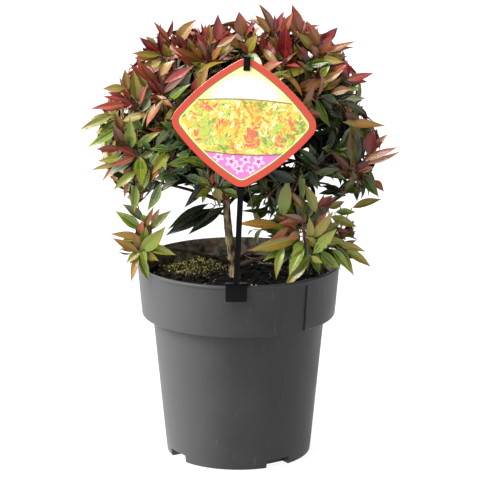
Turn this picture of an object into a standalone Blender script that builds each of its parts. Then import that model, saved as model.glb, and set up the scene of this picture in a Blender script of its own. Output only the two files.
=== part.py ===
"""Potted lilly pilly: a bushy young shrub with glossy pointed leaves, in a plain nursery pot,
with a blank picture label on a stem that clips over the pot's rim.

Metres, +Z up. The origin is the middle of the pot's flat underside, and the front is -Y.
"""

import math
import random
from dataclasses import dataclass

import bmesh
import bpy
from mathutils import Matrix, Vector
from mathutils.bvhtree import BVHTree

MM = 0.001
GAP = 0.3 * MM

# Pot: a tapered tub with a wide collar
POT_HEIGHT = 192.2 * MM
RIM_RADIUS = 100.0 * MM
COLLAR_FOOT_RADIUS = 94.9 * MM
COLLAR_FOOT_HEIGHT = 140.3 * MM
SHOULDER_RADIUS = 84.5 * MM
BASE_RADIUS = 71.2 * MM
EDGE_ROUND = 1.6 * MM
WALL = 1.9 * MM
FLOOR = 2.2 * MM
POT_SIDES = 48

# Flat panels let into the collar, and the arches cut in the base for drainage
PANEL_AZIMUTHS = (-57.0, 123.0)
PANEL_WIDTH = 30.0 * MM
PANEL_TOP = POT_HEIGHT - 5.5 * MM
PANEL_DEPTH = 3.2 * MM
ARCH_AZIMUTHS = (-57.0, 33.0, 123.0, 213.0)
ARCH_WIDTH = 26.0 * MM
ARCH_HEIGHT = 8.0 * MM
ARCH_DEPTH = 12.0 * MM
DRAIN_WIDTH = 12.0 * MM
DRAIN_DEPTH = 5.0 * MM

# Soil
SOIL_WALL_HEIGHT = 174.0 * MM
SOIL_CROWN_HEIGHT = 177.0 * MM
SOIL_FLAT_RADIUS = 14.0 * MM
SOIL_SIDES = 32
SOIL_CLEAR = 0.6 * MM

# Trunk: leans to the left and comes back to the crown's middle
TRUNK_FOOT = Vector((-3.4, 0.0, 177.3)) * MM
TRUNK_LENGTH = 172.0 * MM
TRUNK_LEAN = 8.8 * MM
TRUNK_SWAY = 2.0 * MM
TRUNK_RADIUS = 4.4 * MM
TRUNK_TIP_RADIUS = 2.2 * MM
TRUNK_FLARE = 2.4 * MM
TRUNK_FLARE_HEIGHT = 6.0 * MM
TRUNK_STEPS = 10
TRUNK_BELOW_CUT = 3.0 * MM

# Boughs: radius at the trunk and at the tip
BOUGH_RADIUS = 2.1 * MM
BOUGH_TIP_RADIUS = 1.2 * MM
BOUGH_STEPS = 5
BOUGH_SHARE = 0.72
BOUGH_RISE = 0.16

# The crown's outline
CROWN_HEART = Vector((-4.0, 0.0, 298.0)) * MM
CROWN_MIDDLE = Vector((1.0, 4.0, 306.0)) * MM
CROWN_HALF_WIDTH = 158.0 * MM
CROWN_HALF_DEPTH = 150.0 * MM
CROWN_RISE = 139.0 * MM
CROWN_DROP = 84.0 * MM
CROWN_SQUARENESS = 1.95
FOOT_BELOW = 245.0

# Twigs and leaves
STEM_RADIUS = 1.4 * MM
TWIG_RADIUS = 1.25 * MM
TWIG_TIP_RADIUS = 0.85 * MM
SHOOT_SPREAD = math.radians(58.0)
SKYWARD = 0.28
LEAF_LENGTH = 40.0 * MM
LEAF_WIDTH = 0.36
LEAF_THICKNESS = 0.026
LEAF_FOLD = 0.045
LEAF_WAIST = 0.44
PAIR_DEPTHS = (1.2 * MM, 8.5 * MM, 18.5 * MM)
PAIR_ANGLES = (math.radians(33.0), math.radians(56.0), math.radians(78.0))
PAIR_SCALES = (0.84, 1.0, 1.0)
# Change of angle in degrees and of length, tried in turn until the leaf has room
LEAF_TRIES = ((0.0, 1.0), (-13.0, 1.0), (12.0, 0.92), (-22.0, 0.86), (20.0, 0.78), (-30.0, 0.7))
CELL_MARGIN = 0.25 * MM
LIMB_MARGIN = 0.45 * MM

# Label and its stem
STEM_FOOT = Vector((-2.2, -101.0, 194.0)) * MM
STEM_TOP = Vector((7.9, -121.0, 412.0)) * MM
STEM_WIDTH = 5.4 * MM
STEM_DEPTH = 3.6 * MM
STEM_FLANGE = 1.4 * MM
STEM_WEB = 1.6 * MM
STEM_RISE = 2.4 * MM
CLIP_WIDTH = 20.0 * MM
CLIP_DROP = 14.5 * MM
CLIP_PLATE = 2.4 * MM
CLIP_REACH = 3.0 * MM
COLLAR_WIDTH = 7.4 * MM
COLLAR_DEPTH = 5.6 * MM
COLLAR_LENGTH = 7.0 * MM
COLLAR_BELOW_TOP = 130.0 * MM
HOOK_WIDTH = 6.0 * MM
HOOK_DROP = 15.0 * MM
HOOK_PLATE = 1.2 * MM
LABEL_WIDTH = 132.0 * MM
LABEL_HEIGHT = 122.0 * MM
LABEL_THICKNESS = 0.8 * MM
LABEL_CORNER = 14.0 * MM
LABEL_SIDE_TURN = math.radians(22.0)
LABEL_PROUD = 1.0 * MM
LABEL_STEPS = 5
LABEL_CLEARANCE = 7.0 * MM


@dataclass(frozen=True)
class Mass:
    """One mass of foliage: where its middle is, how far its shoots reach, and what bears it."""

    name: str
    azimuth: float
    radius: float
    height: float
    reach: float
    shoots: int
    springs: float
    bough: bool = True
    leaf: float = 1.0
    droop: float = 0.0

    @property
    def middle(self):
        angle = math.radians(self.azimuth)
        x, y = self.radius * math.cos(angle), self.radius * math.sin(angle)
        return Vector((x, y, self.height)) * MM


# name, azimuth from +X, radius, height, reach, shoots, height where its bough leaves the trunk
MASSES = (
    Mass("mid_right", 356, 92, 302, 30, 4, 270),
    Mass("mid_right_back", 42, 90, 312, 30, 4, 287),
    Mass("mid_back", 88, 88, 314, 30, 4, 276),
    Mass("mid_left_back", 134, 90, 314, 30, 4, 293),
    Mass("mid_left", 180, 94, 316, 30, 4, 267),
    Mass("mid_left_front", 222, 94, 312, 30, 4, 284),
    Mass("mid_front", 268, 66, 320, 24, 4, 273),
    Mass("mid_right_front", 316, 94, 308, 30, 4, 290),
    Mass("high_right", 352, 80, 362, 29, 4, 309),
    Mass("high_right_back", 50, 70, 368, 28, 4, 322),
    Mass("high_left_back", 112, 70, 368, 28, 4, 315),
    Mass("high_left", 178, 67, 365, 28, 4, 300),
    Mass("high_left_front", 236, 66, 372, 27, 4, 328),
    Mass("high_right_front", 302, 64, 374, 27, 4, 319),
    Mass("top_right", 340, 36, 400, 25, 4, 0, bough=False),
    Mass("top_left", 165, 34, 396, 25, 4, 333),
    Mass("low_left", 184, 94, 268, 27, 4, 250, droop=0.35),
    Mass("low_front", 238, 38, 272, 18, 3, 262, leaf=0.85),
    Mass("low_right_front", 328, 66, 282, 24, 3, 256, droop=0.2),
    Mass("low_right", 8, 100, 262, 26, 4, 264, droop=0.3),
    Mass("low_right_back", 62, 78, 274, 26, 3, 247, droop=0.2),
    Mass("low_left_back", 128, 80, 274, 26, 3, 259, droop=0.2),
    Mass("hanging_left", 196, 34, 240, 14, 2, 238, bough=False, leaf=1.1, droop=0.9),
    Mass("foot_right", 306, 68, 236, 30, 5, 193, leaf=1.15),
    Mass("foot_right_rim", 333, 97, 218, 22, 4, 186, leaf=1.05),
    Mass("foot_left", 211, 106, 222, 15, 3, 189),
)


def clear_scene():
    """Remove every object that the scene starts with."""
    for thing in list(bpy.data.objects):
        bpy.data.objects.remove(thing)


def new_collection(name, drawn=True):
    """A collection in the scene, for the parts or, not drawn, for the cutters."""
    collection = bpy.data.collections.new(name)
    bpy.context.scene.collection.children.link(collection)
    collection.hide_render = not drawn
    return collection


def plain_material(name, colour, roughness, metallic=0.0):
    """A Principled material of one colour."""
    material = bpy.data.materials.new(name)
    material.use_nodes = True
    shader = material.node_tree.nodes["Principled BSDF"]
    shader.inputs["Base Color"].default_value = (*colour, 1.0)
    shader.inputs["Roughness"].default_value = roughness
    shader.inputs["Metallic"].default_value = metallic
    return material


def object_from_bmesh(name, shape, collection, material=None):
    """An object in a collection, made from a bmesh that is freed."""
    mesh = bpy.data.meshes.new(name)
    shape.to_mesh(mesh)
    shape.free()
    thing = bpy.data.objects.new(name, mesh)
    collection.objects.link(thing)
    if material:
        mesh.materials.append(material)
    return thing


def as_cutter(thing):
    """The same object, shown as wire and never drawn."""
    thing.hide_render = True
    thing.display_type = "WIRE"
    return thing


def evaluated_mesh(thing):
    """A mesh of its own from the object as it is evaluated, in the object's space."""
    graph = bpy.context.evaluated_depsgraph_get()
    return bpy.data.meshes.new_from_object(thing.evaluated_get(graph))


def cut(thing, other):
    """Cut another object out of this one, with a modifier that stays on it."""
    modifier = thing.modifiers.new(f"cut_{other.name}", "BOOLEAN")
    modifier.operation = "DIFFERENCE"
    modifier.solver = "EXACT"
    modifier.object = other


def turned(name, profile, sides, collection, material=None):
    """A solid of revolution from (radius, height) points that run down its outer side."""
    mesh = bpy.data.meshes.new(name)
    edges = [(i, i + 1) for i in range(len(profile) - 1)]
    mesh.from_pydata([(radius, 0.0, height) for radius, height in profile], edges, [])
    thing = bpy.data.objects.new(name, mesh)
    collection.objects.link(thing)
    screw = thing.modifiers.new("turn", "SCREW")
    screw.axis = "Z"
    screw.steps = sides
    screw.render_steps = sides
    screw.use_merge_vertices = True
    screw.merge_threshold = 0.00001
    if material:
        mesh.materials.append(material)
    return thing


def box(name, low, high, collection, placing=None):
    """A box between two corners, which the placing matrix then moves."""
    shape = bmesh.new()
    bmesh.ops.create_cube(shape, size=1.0)
    stretched = Matrix.Translation((high + low) / 2) @ Matrix.Diagonal(high - low).to_4x4()
    bmesh.ops.transform(shape, matrix=stretched, verts=shape.verts)
    if placing:
        bmesh.ops.transform(shape, matrix=placing, verts=shape.verts)
    return object_from_bmesh(name, shape, collection)


def tube(name, points, radii, roundness, collection, material=None):
    """A tapering tube along points, made as a bevelled curve and turned into a closed mesh."""
    curve = bpy.data.curves.new(name, "CURVE")
    curve.dimensions = "3D"
    curve.bevel_depth = 1.0
    curve.bevel_resolution = roundness
    curve.use_fill_caps = True
    spline = curve.splines.new("POLY")
    spline.points.add(len(points) - 1)
    for spot, point, radius in zip(spline.points, points, radii):
        spot.co = (*point, 1.0)
        spot.radius = radius
    guide = bpy.data.objects.new(f"{name}_curve", curve)
    collection.objects.link(guide)
    mesh = evaluated_mesh(guide)
    bpy.data.objects.remove(guide)
    shape = bmesh.new()
    shape.from_mesh(mesh)
    bpy.data.meshes.remove(mesh)
    bmesh.ops.remove_doubles(shape, verts=shape.verts, dist=0.00001)
    bmesh.ops.recalc_face_normals(shape, faces=shape.faces)
    return object_from_bmesh(name, shape, collection, material)


# Pot


def outer_radius(height):
    """The pot's outer radius at a height, without the rounding of its edges."""
    if height >= COLLAR_FOOT_HEIGHT:
        share = (height - COLLAR_FOOT_HEIGHT) / (POT_HEIGHT - COLLAR_FOOT_HEIGHT)
        return COLLAR_FOOT_RADIUS + share * (RIM_RADIUS - COLLAR_FOOT_RADIUS)
    return BASE_RADIUS + height / COLLAR_FOOT_HEIGHT * (SHOULDER_RADIUS - BASE_RADIUS)


def pot_outline():
    """Down the outside of the pot, as a solid with no hollow."""
    return [
        (0.0, POT_HEIGHT),
        (RIM_RADIUS - EDGE_ROUND / 2, POT_HEIGHT),
        (RIM_RADIUS, POT_HEIGHT - EDGE_ROUND / 2),
        (COLLAR_FOOT_RADIUS, COLLAR_FOOT_HEIGHT + EDGE_ROUND),
        (COLLAR_FOOT_RADIUS - EDGE_ROUND, COLLAR_FOOT_HEIGHT),
        (SHOULDER_RADIUS, COLLAR_FOOT_HEIGHT),
        (outer_radius(EDGE_ROUND), EDGE_ROUND),
        (BASE_RADIUS - EDGE_ROUND, 0.0),
        (0.0, 0.0),
    ]


def hollow_outline(clear, top):
    """Down the inside of the pot's wall, the given distance clear of it."""
    inset = WALL + clear
    step = COLLAR_FOOT_HEIGHT + inset
    return [
        (0.0, top),
        (outer_radius(min(top, POT_HEIGHT)) - inset, top),
        (COLLAR_FOOT_RADIUS - inset, step),
        (SHOULDER_RADIUS - inset, step),
        (outer_radius(FLOOR + clear) - inset, FLOOR + clear),
        (0.0, FLOOR + clear),
    ]


def recesses(kind, grown, collection):
    """The shapes of the collar's panels and the base's arches, grown on all sides by a distance."""
    spread = Vector((grown, grown, grown))
    taper = math.atan((RIM_RADIUS - COLLAR_FOOT_RADIUS) / (POT_HEIGHT - COLLAR_FOOT_HEIGHT))
    shapes = []
    for number, azimuth in enumerate(PANEL_AZIMUTHS):
        low = Vector((-PANEL_DEPTH, -PANEL_WIDTH / 2, -10.0 * MM)) - spread
        high = Vector((PANEL_DEPTH * 3, PANEL_WIDTH / 2, PANEL_TOP - COLLAR_FOOT_HEIGHT)) + spread
        placing = (
            Matrix.Rotation(math.radians(azimuth), 4, "Z")
            @ Matrix.Translation((COLLAR_FOOT_RADIUS, 0.0, COLLAR_FOOT_HEIGHT))
            @ Matrix.Rotation(taper, 4, "Y")
        )
        shapes.append(box(f"{kind}_panel_{number + 1}", low, high, collection, placing))
    for number, azimuth in enumerate(ARCH_AZIMUTHS):
        low = Vector((BASE_RADIUS - ARCH_DEPTH, -ARCH_WIDTH / 2, -ARCH_HEIGHT)) - spread
        high = Vector((BASE_RADIUS + ARCH_DEPTH, ARCH_WIDTH / 2, ARCH_HEIGHT)) + spread
        placing = Matrix.Rotation(math.radians(azimuth), 4, "Z")
        shapes.append(box(f"{kind}_arch_{number + 1}", low, high, collection, placing))
    return [as_cutter(shape) for shape in shapes]


def drains(collection):
    """The slots through the arches' roofs, where water leaves the pot."""
    shapes = []
    for number, azimuth in enumerate(ARCH_AZIMUTHS):
        inner = BASE_RADIUS - ARCH_DEPTH + 2.0 * MM
        low = Vector((inner, -DRAIN_WIDTH / 2, ARCH_HEIGHT - 1.0 * MM))
        high = Vector((inner + DRAIN_DEPTH, DRAIN_WIDTH / 2, ARCH_HEIGHT + WALL + 1.0 * MM))
        placing = Matrix.Rotation(math.radians(azimuth), 4, "Z")
        shapes.append(as_cutter(box(f"drain_{number + 1}", low, high, collection, placing)))
    return shapes


def build_pot(parts, cutters):
    """The pot: a turned tub with its hollow, panels, arches and drains cut out of it."""
    material = plain_material("pot_plastic", (0.105, 0.105, 0.108), 0.55)
    pot = turned("pot", pot_outline(), POT_SIDES, parts, material)
    overshoot = POT_HEIGHT + 4.0 * MM
    hollow = as_cutter(turned("hollow", hollow_outline(0.0, overshoot), POT_SIDES, cutters))
    hollow.rotation_euler.z = math.pi / POT_SIDES
    for shape in recesses("behind", WALL, cutters):
        cut(hollow, shape)
    cut(pot, hollow)
    for shape in recesses("cut", 0.0, cutters) + drains(cutters):
        cut(pot, shape)
    return pot


def build_soil(parts, cutters):
    """The potting mix: it fills the pot to its collar, and is a little higher round the trunk."""
    material = plain_material("potting_mix", (0.022, 0.018, 0.014), 0.95)
    sides = hollow_outline(SOIL_CLEAR, SOIL_WALL_HEIGHT)[1:]
    outline = [(0.0, SOIL_CROWN_HEIGHT), (SOIL_FLAT_RADIUS, SOIL_CROWN_HEIGHT)] + sides
    soil = turned("soil", outline, SOIL_SIDES, parts, material)
    for shape in recesses("soil", WALL + SOIL_CLEAR, cutters):
        cut(soil, shape)
    return soil


# Trunk and boughs


def trunk_point(height):
    """The middle of the trunk at a height above the ground."""
    share = (height - TRUNK_FOOT.z) / TRUNK_LENGTH
    x = TRUNK_FOOT.x - TRUNK_LEAN * math.sin(math.pi * share)
    y = TRUNK_FOOT.y + TRUNK_SWAY * math.sin(2 * math.pi * share)
    return Vector((x, y, height))


def trunk_radius(height):
    """The trunk's radius: an even taper, with the root flare at its foot."""
    above = height - TRUNK_FOOT.z
    taper = TRUNK_RADIUS + (TRUNK_TIP_RADIUS - TRUNK_RADIUS) * above / TRUNK_LENGTH
    return taper + TRUNK_FLARE * math.exp(-above / TRUNK_FLARE_HEIGHT)


def trunk_heights():
    """Heights up the trunk, closer together in the root flare."""
    shares = [(step / TRUNK_STEPS) ** 1.5 for step in range(TRUNK_STEPS + 1)]
    return [TRUNK_FOOT.z + TRUNK_LENGTH * share for share in shares]


def build_trunk(name, grown, collection, material=None):
    """The trunk, cut flat where it meets the soil."""
    heights = [TRUNK_FOOT.z - TRUNK_BELOW_CUT] + trunk_heights()
    points = [trunk_point(height) for height in heights]
    radii = [trunk_radius(max(height, TRUNK_FOOT.z)) + grown for height in heights]
    trunk = tube(name, points, radii, 3, collection, material)
    shape = bmesh.new()
    shape.from_mesh(trunk.data)
    everything = [*shape.verts, *shape.edges, *shape.faces]
    level = {"plane_co": TRUNK_FOOT, "plane_no": (0.0, 0.0, -1.0)}
    sliced = bmesh.ops.bisect_plane(shape, geom=everything, clear_outer=True, **level)
    rim = [piece for piece in sliced["geom_cut"] if isinstance(piece, bmesh.types.BMEdge)]
    bmesh.ops.edgenet_fill(shape, edges=rim)
    bmesh.ops.recalc_face_normals(shape, faces=shape.faces)
    shape.to_mesh(trunk.data)
    shape.free()
    return trunk


def bezier(start, control, end, share):
    """A point on the curve from start to end that bends towards the control point."""
    return start * (1 - share) ** 2 + control * 2 * share * (1 - share) + end * share**2


def growing_way(mass):
    """The direction in which a mass grows out from the crown, turned a little to the sky."""
    way = (mass.middle - CROWN_HEART).normalized()
    if mass.height < FOOT_BELOW:
        way = (mass.middle - trunk_point(mass.springs * MM)).normalized()
    way = way + Vector((0.0, 0.0, SKYWARD - mass.droop))
    return way.normalized()


def mass_heart(mass):
    """The point inside a mass where its stem parts into shoots."""
    return mass.middle - growing_way(mass) * mass.reach * 0.45 * MM


def bough_path(mass):
    """The bough's line, from inside the trunk to where it enters its mass, and its heading there."""
    start = trunk_point(mass.springs * MM)
    heart = mass_heart(mass)
    span = heart - start
    control = start + Vector((span.x, span.y, span.z * 0.35)) * 0.5
    control.z += span.length * BOUGH_RISE
    shares = [BOUGH_SHARE * step / BOUGH_STEPS for step in range(BOUGH_STEPS + 1)]
    path = [bezier(start, control, heart, share) for share in shares]
    just_before = bezier(start, control, heart, BOUGH_SHARE - 0.04)
    return path, (path[-1] - just_before).normalized()


def mass_foot(mass):
    """Where a mass's stem starts, and its heading: just clear of its bough's tip or of the trunk."""
    if mass.bough:
        path, heading = bough_path(mass)
        return path[-1] + heading * GAP, heading
    if mass.springs == 0:
        tip = trunk_point(TRUNK_FOOT.z + TRUNK_LENGTH)
        upward = (tip - trunk_point(trunk_heights()[-2])).normalized()
        heading = (mass_heart(mass) - tip).normalized()
        tilt = heading.angle(upward)
        return tip + upward * (GAP + STEM_RADIUS * math.sin(tilt)), heading
    start = trunk_point(mass.springs * MM)
    heading = (mass_heart(mass) - start).normalized()
    clear = trunk_radius(start.z) + STEM_RADIUS + GAP
    return start + heading * clear, heading


def build_bough(mass, trunk_space, parts, material):
    """A tapering bough, cut off just clear of the trunk's surface."""
    path, _ = bough_path(mass)
    shares = [step / BOUGH_STEPS for step in range(BOUGH_STEPS + 1)]
    radii = [BOUGH_RADIUS + (BOUGH_TIP_RADIUS - BOUGH_RADIUS) * share for share in shares]
    bough = tube(f"bough_{mass.name}", path, radii, 1, parts, material)
    cut(bough, trunk_space)
    return bough


# Foliage


def in_crown(point):
    """Whether a point lies within the crown's outline."""
    away = point - CROWN_MIDDLE
    height = CROWN_RISE if away.z > 0 else CROWN_DROP
    flat = math.hypot(away.x / CROWN_HALF_WIDTH, away.y / CROWN_HALF_DEPTH)
    return flat**CROWN_SQUARENESS + abs(away.z / height) ** CROWN_SQUARENESS < 1.0


def behind_label(point):
    """Whether a point is clear of the label and the stem behind it."""
    share = (point.z - STEM_FOOT.z) / (STEM_TOP.z - STEM_FOOT.z)
    line = STEM_FOOT.lerp(STEM_TOP, share)
    half = LABEL_WIDTH / 2 + 4.0 * MM if share > 0.42 else STEM_WIDTH
    if abs(point.x - line.x) > half or share < 0.0:
        return True
    return point.y > line.y + LABEL_CLEARANCE


class Space:
    """The room that one mass may fill: its share of the crown, clear of limbs, pot and label."""

    def __init__(self, mass, solids):
        self.mass = mass
        self.solids = solids
        self.neighbours = [other.middle for other in MASSES if other is not mass]
        self.placed = []

    def holds(self, point):
        """Whether a point lies nearer to this mass's middle than to any other's, in the crown."""
        if self.mass.height > FOOT_BELOW and not in_crown(point):
            return False
        if not behind_label(point):
            return False
        middle = self.mass.middle
        for other in self.neighbours:
            apart = other - middle
            length = apart.length
            if (point - middle).dot(apart / length) > length / 2 - CELL_MARGIN:
                return False
        return True

    def fits(self, shape):
        """Whether a small solid lies in this room and touches nothing that is there already."""
        if not all(self.holds(vertex.co) for vertex in shape.verts):
            return False
        tree = BVHTree.FromBMesh(shape)
        spots = [vertex.co for vertex in shape.verts]
        spots += [(edge.verts[0].co + edge.verts[1].co) / 2 for edge in shape.edges]
        for solid in self.solids:
            if tree.overlap(solid):
                return False
            if any(solid.find_nearest(spot, LIMB_MARGIN)[0] for spot in spots):
                return False
        return True

    def crosses(self, shape):
        """Whether a leaf cuts through a leaf that is there already."""
        tree = BVHTree.FromBMesh(shape)
        return any(tree.overlap(other) for other in self.placed)

    def keep(self, shape):
        """Count a leaf among those that later ones may not cross."""
        self.placed.append(BVHTree.FromBMesh(shape))


def cone_shape(start, end, radius, end_radius):
    """A three-sided tapering rod from start to end."""
    shape = bmesh.new()
    size = {"radius1": radius, "radius2": end_radius, "depth": (end - start).length}
    bmesh.ops.create_cone(shape, cap_ends=True, segments=3, **size)
    turn = (end - start).to_track_quat("Z", "Y").to_matrix().to_4x4()
    bmesh.ops.transform(shape, matrix=Matrix.Translation((start + end) / 2) @ turn, verts=shape.verts)
    return shape


def leaf_shape(root, way, upper, length):
    """A pointed leaf of eight faces, folded along its midrib."""
    shape = bmesh.new()
    bmesh.ops.create_uvsphere(shape, u_segments=4, v_segments=2, radius=1.0)
    across = way.cross(upper).normalized()
    upper = across.cross(way).normalized()
    for vertex in shape.verts:
        x, y, z = vertex.co
        along = LEAF_WAIST if abs(z) < 0.5 else (z + 1.0) / 2
        aside = x * LEAF_WIDTH / 2
        raised = y * LEAF_THICKNESS / 2 - abs(y) * LEAF_FOLD
        vertex.co = root + (way * along + across * aside + upper * raised) * length
    return shape


def shoot_tips(mass, space):
    """The ends of a mass's shoots: one straight out, the others spread evenly round it."""
    chance = random.Random(f"shoots of {mass.name}")
    way = growing_way(mass)
    aside = way.orthogonal().normalized()
    turn = chance.uniform(0.0, 2 * math.pi)
    tips = []
    for number in range(mass.shoots):
        tilt = 0.0 if number == 0 else SHOOT_SPREAD * chance.uniform(0.85, 1.15)
        spin = turn + 2 * math.pi * number / max(mass.shoots - 1, 1) + chance.uniform(-0.3, 0.3)
        ray = Matrix.Rotation(spin, 3, way) @ Matrix.Rotation(tilt, 3, aside) @ way
        for share in (1.0, 0.85, 0.7, 0.55, 0.4):
            tip = mass.middle + ray * mass.reach * share * MM
            beyond = tip + ray * 12.0 * MM
            if space.holds(tip) and space.holds(beyond):
                tips.append(tip)
                break
    return tips


def leaf_places(start, tip, turn, pairs):
    """Root, shoot's way, way out, angle and scale of each leaf, in crossed pairs from the tip down."""
    way = (tip - start).normalized()
    side = way.orthogonal().normalized()
    for number in range(pairs):
        root = tip - way * PAIR_DEPTHS[number]
        for half in (0.0, math.pi):
            spin = turn + number * math.pi / 2 + half
            out = Matrix.Rotation(spin, 3, way) @ side
            yield root, way, out, PAIR_ANGLES[number], PAIR_SCALES[number]


def grow_mass(mass, solids, parts, material):
    """Twigs from one stem, with leaves in crossed pairs, joined into one solid."""
    chance = random.Random(f"leaves of {mass.name}")
    space = Space(mass, solids)
    foot, heading = mass_foot(mass)
    heart = mass_heart(mass)
    pieces = bpy.data.collections.new(f"pieces_{mass.name}")
    bpy.context.scene.collection.children.link(pieces)
    stem = cone_shape(foot, heart, STEM_RADIUS, TWIG_RADIUS)
    whole = object_from_bmesh(mass.name, stem, parts, material)
    inward = (foot - heart).normalized()
    start = heart + inward * TWIG_RADIUS
    for number, tip in enumerate(shoot_tips(mass, space)):
        shoot = cone_shape(start, tip, TWIG_RADIUS, TWIG_TIP_RADIUS)
        object_from_bmesh(f"shoot_of_{mass.name}", shoot, pieces)
        turn = chance.uniform(0.0, math.pi)
        length = LEAF_LENGTH * mass.leaf
        pairs = len(PAIR_DEPTHS) - number % 2
        for root, way, out, angle, scale in leaf_places(start, tip, turn, pairs):
            size = length * scale * chance.uniform(0.9, 1.08)
            for change, shorter in LEAF_TRIES:
                lean = angle + math.radians(change) + chance.uniform(-0.08, 0.08)
                direction = way * math.cos(lean) + out * math.sin(lean)
                upper = way * math.sin(lean) - out * math.cos(lean)
                leaf = leaf_shape(root, direction, upper, size * shorter)
                if space.fits(leaf) and not space.crosses(leaf):
                    space.keep(leaf)
                    object_from_bmesh(f"leaf_of_{mass.name}", leaf, pieces)
                    break
                leaf.free()
    return fuse(whole, pieces)


def fuse(whole, pieces):
    """The union of an object with a collection, applied, without scraps or sealed hollows."""
    modifier = whole.modifiers.new("fuse", "BOOLEAN")
    modifier.operation = "UNION"
    modifier.operand_type = "COLLECTION"
    modifier.collection = pieces
    modifier.solver = "EXACT"
    joined = evaluated_mesh(whole)
    whole.modifiers.remove(modifier)
    shape = bmesh.new()
    shape.from_mesh(joined)
    bpy.data.meshes.remove(joined)
    bmesh.ops.triangulate(shape, faces=shape.faces)
    keep_largest(shape)
    shape.to_mesh(whole.data)
    shape.free()
    for piece in list(pieces.objects):
        bpy.data.objects.remove(piece)
    bpy.data.collections.remove(pieces)
    return whole


def keep_largest(shape):
    """Drops every loose piece but the largest."""
    unseen = set(shape.verts)
    groups = []
    while unseen:
        edge_of_group = [unseen.pop()]
        group = set(edge_of_group)
        while edge_of_group:
            vertex = edge_of_group.pop()
            for link in vertex.link_edges:
                other = link.other_vert(vertex)
                if other in unseen:
                    unseen.remove(other)
                    group.add(other)
                    edge_of_group.append(other)
        groups.append(group)
    largest = max(groups, key=len)
    scraps = [vertex for vertex in shape.verts if vertex not in largest]
    bmesh.ops.delete(shape, geom=scraps, context="VERTS")


# Label and its stem


def stem_placing(height):
    """The frame of the stem at a height: its Z along the stem and its Y to the back."""
    along = (STEM_TOP - STEM_FOOT).normalized()
    right = Vector((0.0, 1.0, 0.0)).cross(along).normalized()
    back = along.cross(right).normalized()
    turn = Matrix((right, back, along)).transposed().to_4x4()
    share = (height - STEM_FOOT.z) / (STEM_TOP.z - STEM_FOOT.z)
    return Matrix.Translation(STEM_FOOT.lerp(STEM_TOP, share)) @ turn


def rounded_diamond(width, height, corner, side_turn, steps):
    """A diamond with bowed sides and round corners: a quarter of three arcs, turned to all four."""
    half_wide = width / 2 - corner
    half_tall = height / 2 - corner
    lean = math.atan2(half_wide, half_tall)
    start, end = lean - side_turn / 2, lean + side_turn / 2
    bow = corner + half_wide / (math.cos(start) - math.cos(end))
    right = Vector((half_wide, 0.0))
    top = Vector((0.0, half_tall))
    bow_middle = right + (corner - bow) * Vector((math.cos(start), math.sin(start)))
    arcs = ((right, corner, 0.0, start), (bow_middle, bow, start, end), (top, corner, end, math.pi / 2))
    quarter = []
    for middle, radius, first, last in arcs:
        for step in range(steps):
            angle = first + (last - first) * step / steps
            quarter.append(middle + radius * Vector((math.cos(angle), math.sin(angle))))
    upper = [*quarter, Vector((0.0, height / 2)), *(Vector((-p.x, p.y)) for p in reversed(quarter))]
    return upper + [-point for point in upper[1:-1]]


def build_label(parts):
    """The label: a flat card that hangs in front of its stem."""
    material = plain_material("label_card", (0.86, 0.55, 0.24), 0.35)
    size = (LABEL_WIDTH, LABEL_HEIGHT, LABEL_CORNER)
    outline = rounded_diamond(*size, LABEL_SIDE_TURN, LABEL_STEPS)
    curve = bpy.data.curves.new("label_outline", "CURVE")
    curve.dimensions = "2D"
    curve.fill_mode = "BOTH"
    curve.extrude = LABEL_THICKNESS / 2
    spline = curve.splines.new("POLY")
    spline.points.add(len(outline) - 1)
    for spot, point in zip(spline.points, outline):
        spot.co = (point.x, point.y, 0.0, 1.0)
    spline.use_cyclic_u = True
    guide = bpy.data.objects.new("label_guide", curve)
    parts.objects.link(guide)
    mesh = evaluated_mesh(guide)
    bpy.data.objects.remove(guide)
    shape = bmesh.new()
    shape.from_mesh(mesh)
    bpy.data.meshes.remove(mesh)
    bmesh.ops.remove_doubles(shape, verts=shape.verts, dist=0.00001)
    upright = Matrix.Rotation(math.pi / 2, 4, "X")
    forward = Vector((0.0, -(STEM_DEPTH / 2 + GAP + LABEL_THICKNESS / 2), 0.0))
    middle = STEM_TOP.z - LABEL_HEIGHT / 2 + LABEL_PROUD
    placing = stem_placing(middle) @ Matrix.Translation(forward) @ upright
    bmesh.ops.transform(shape, matrix=placing, verts=shape.verts)
    bmesh.ops.recalc_face_normals(shape, faces=shape.faces)
    return object_from_bmesh("label", shape, parts, material)


def stem_boxes():
    """The stem's straight parts, as corners in the frame of its foot."""
    length = (STEM_TOP - STEM_FOOT).length
    half_wide, half_deep = STEM_WIDTH / 2, STEM_DEPTH / 2
    below = -1.0 * MM
    rise = length + STEM_RISE
    inner = half_wide - STEM_FLANGE
    web_wide, web_deep = inner + STEM_FLANGE / 2, STEM_WEB / 2
    collar = length - COLLAR_BELOW_TOP
    collar_wide, collar_deep = COLLAR_WIDTH / 2, COLLAR_DEPTH / 2
    hook_wide = HOOK_WIDTH / 2
    front = -half_deep - GAP * 2 - LABEL_THICKNESS
    lid = length + LABEL_PROUD + GAP
    return (
        (Vector((-half_wide, -half_deep, below)), Vector((-inner, half_deep, rise))),
        (Vector((inner, -half_deep, below)), Vector((half_wide, half_deep, rise))),
        (Vector((-web_wide, -web_deep, below)), Vector((web_wide, web_deep, rise - 0.2 * MM))),
        (
            Vector((-collar_wide, -collar_deep, collar)),
            Vector((collar_wide, collar_deep, collar + COLLAR_LENGTH)),
        ),
        (
            Vector((-hook_wide, front - HOOK_PLATE, lid)),
            Vector((hook_wide, half_deep + 0.1 * MM, lid + HOOK_PLATE)),
        ),
        (
            Vector((-hook_wide, front - HOOK_PLATE, length - HOOK_DROP)),
            Vector((hook_wide, front, lid + HOOK_PLATE / 2)),
        ),
    )


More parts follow.
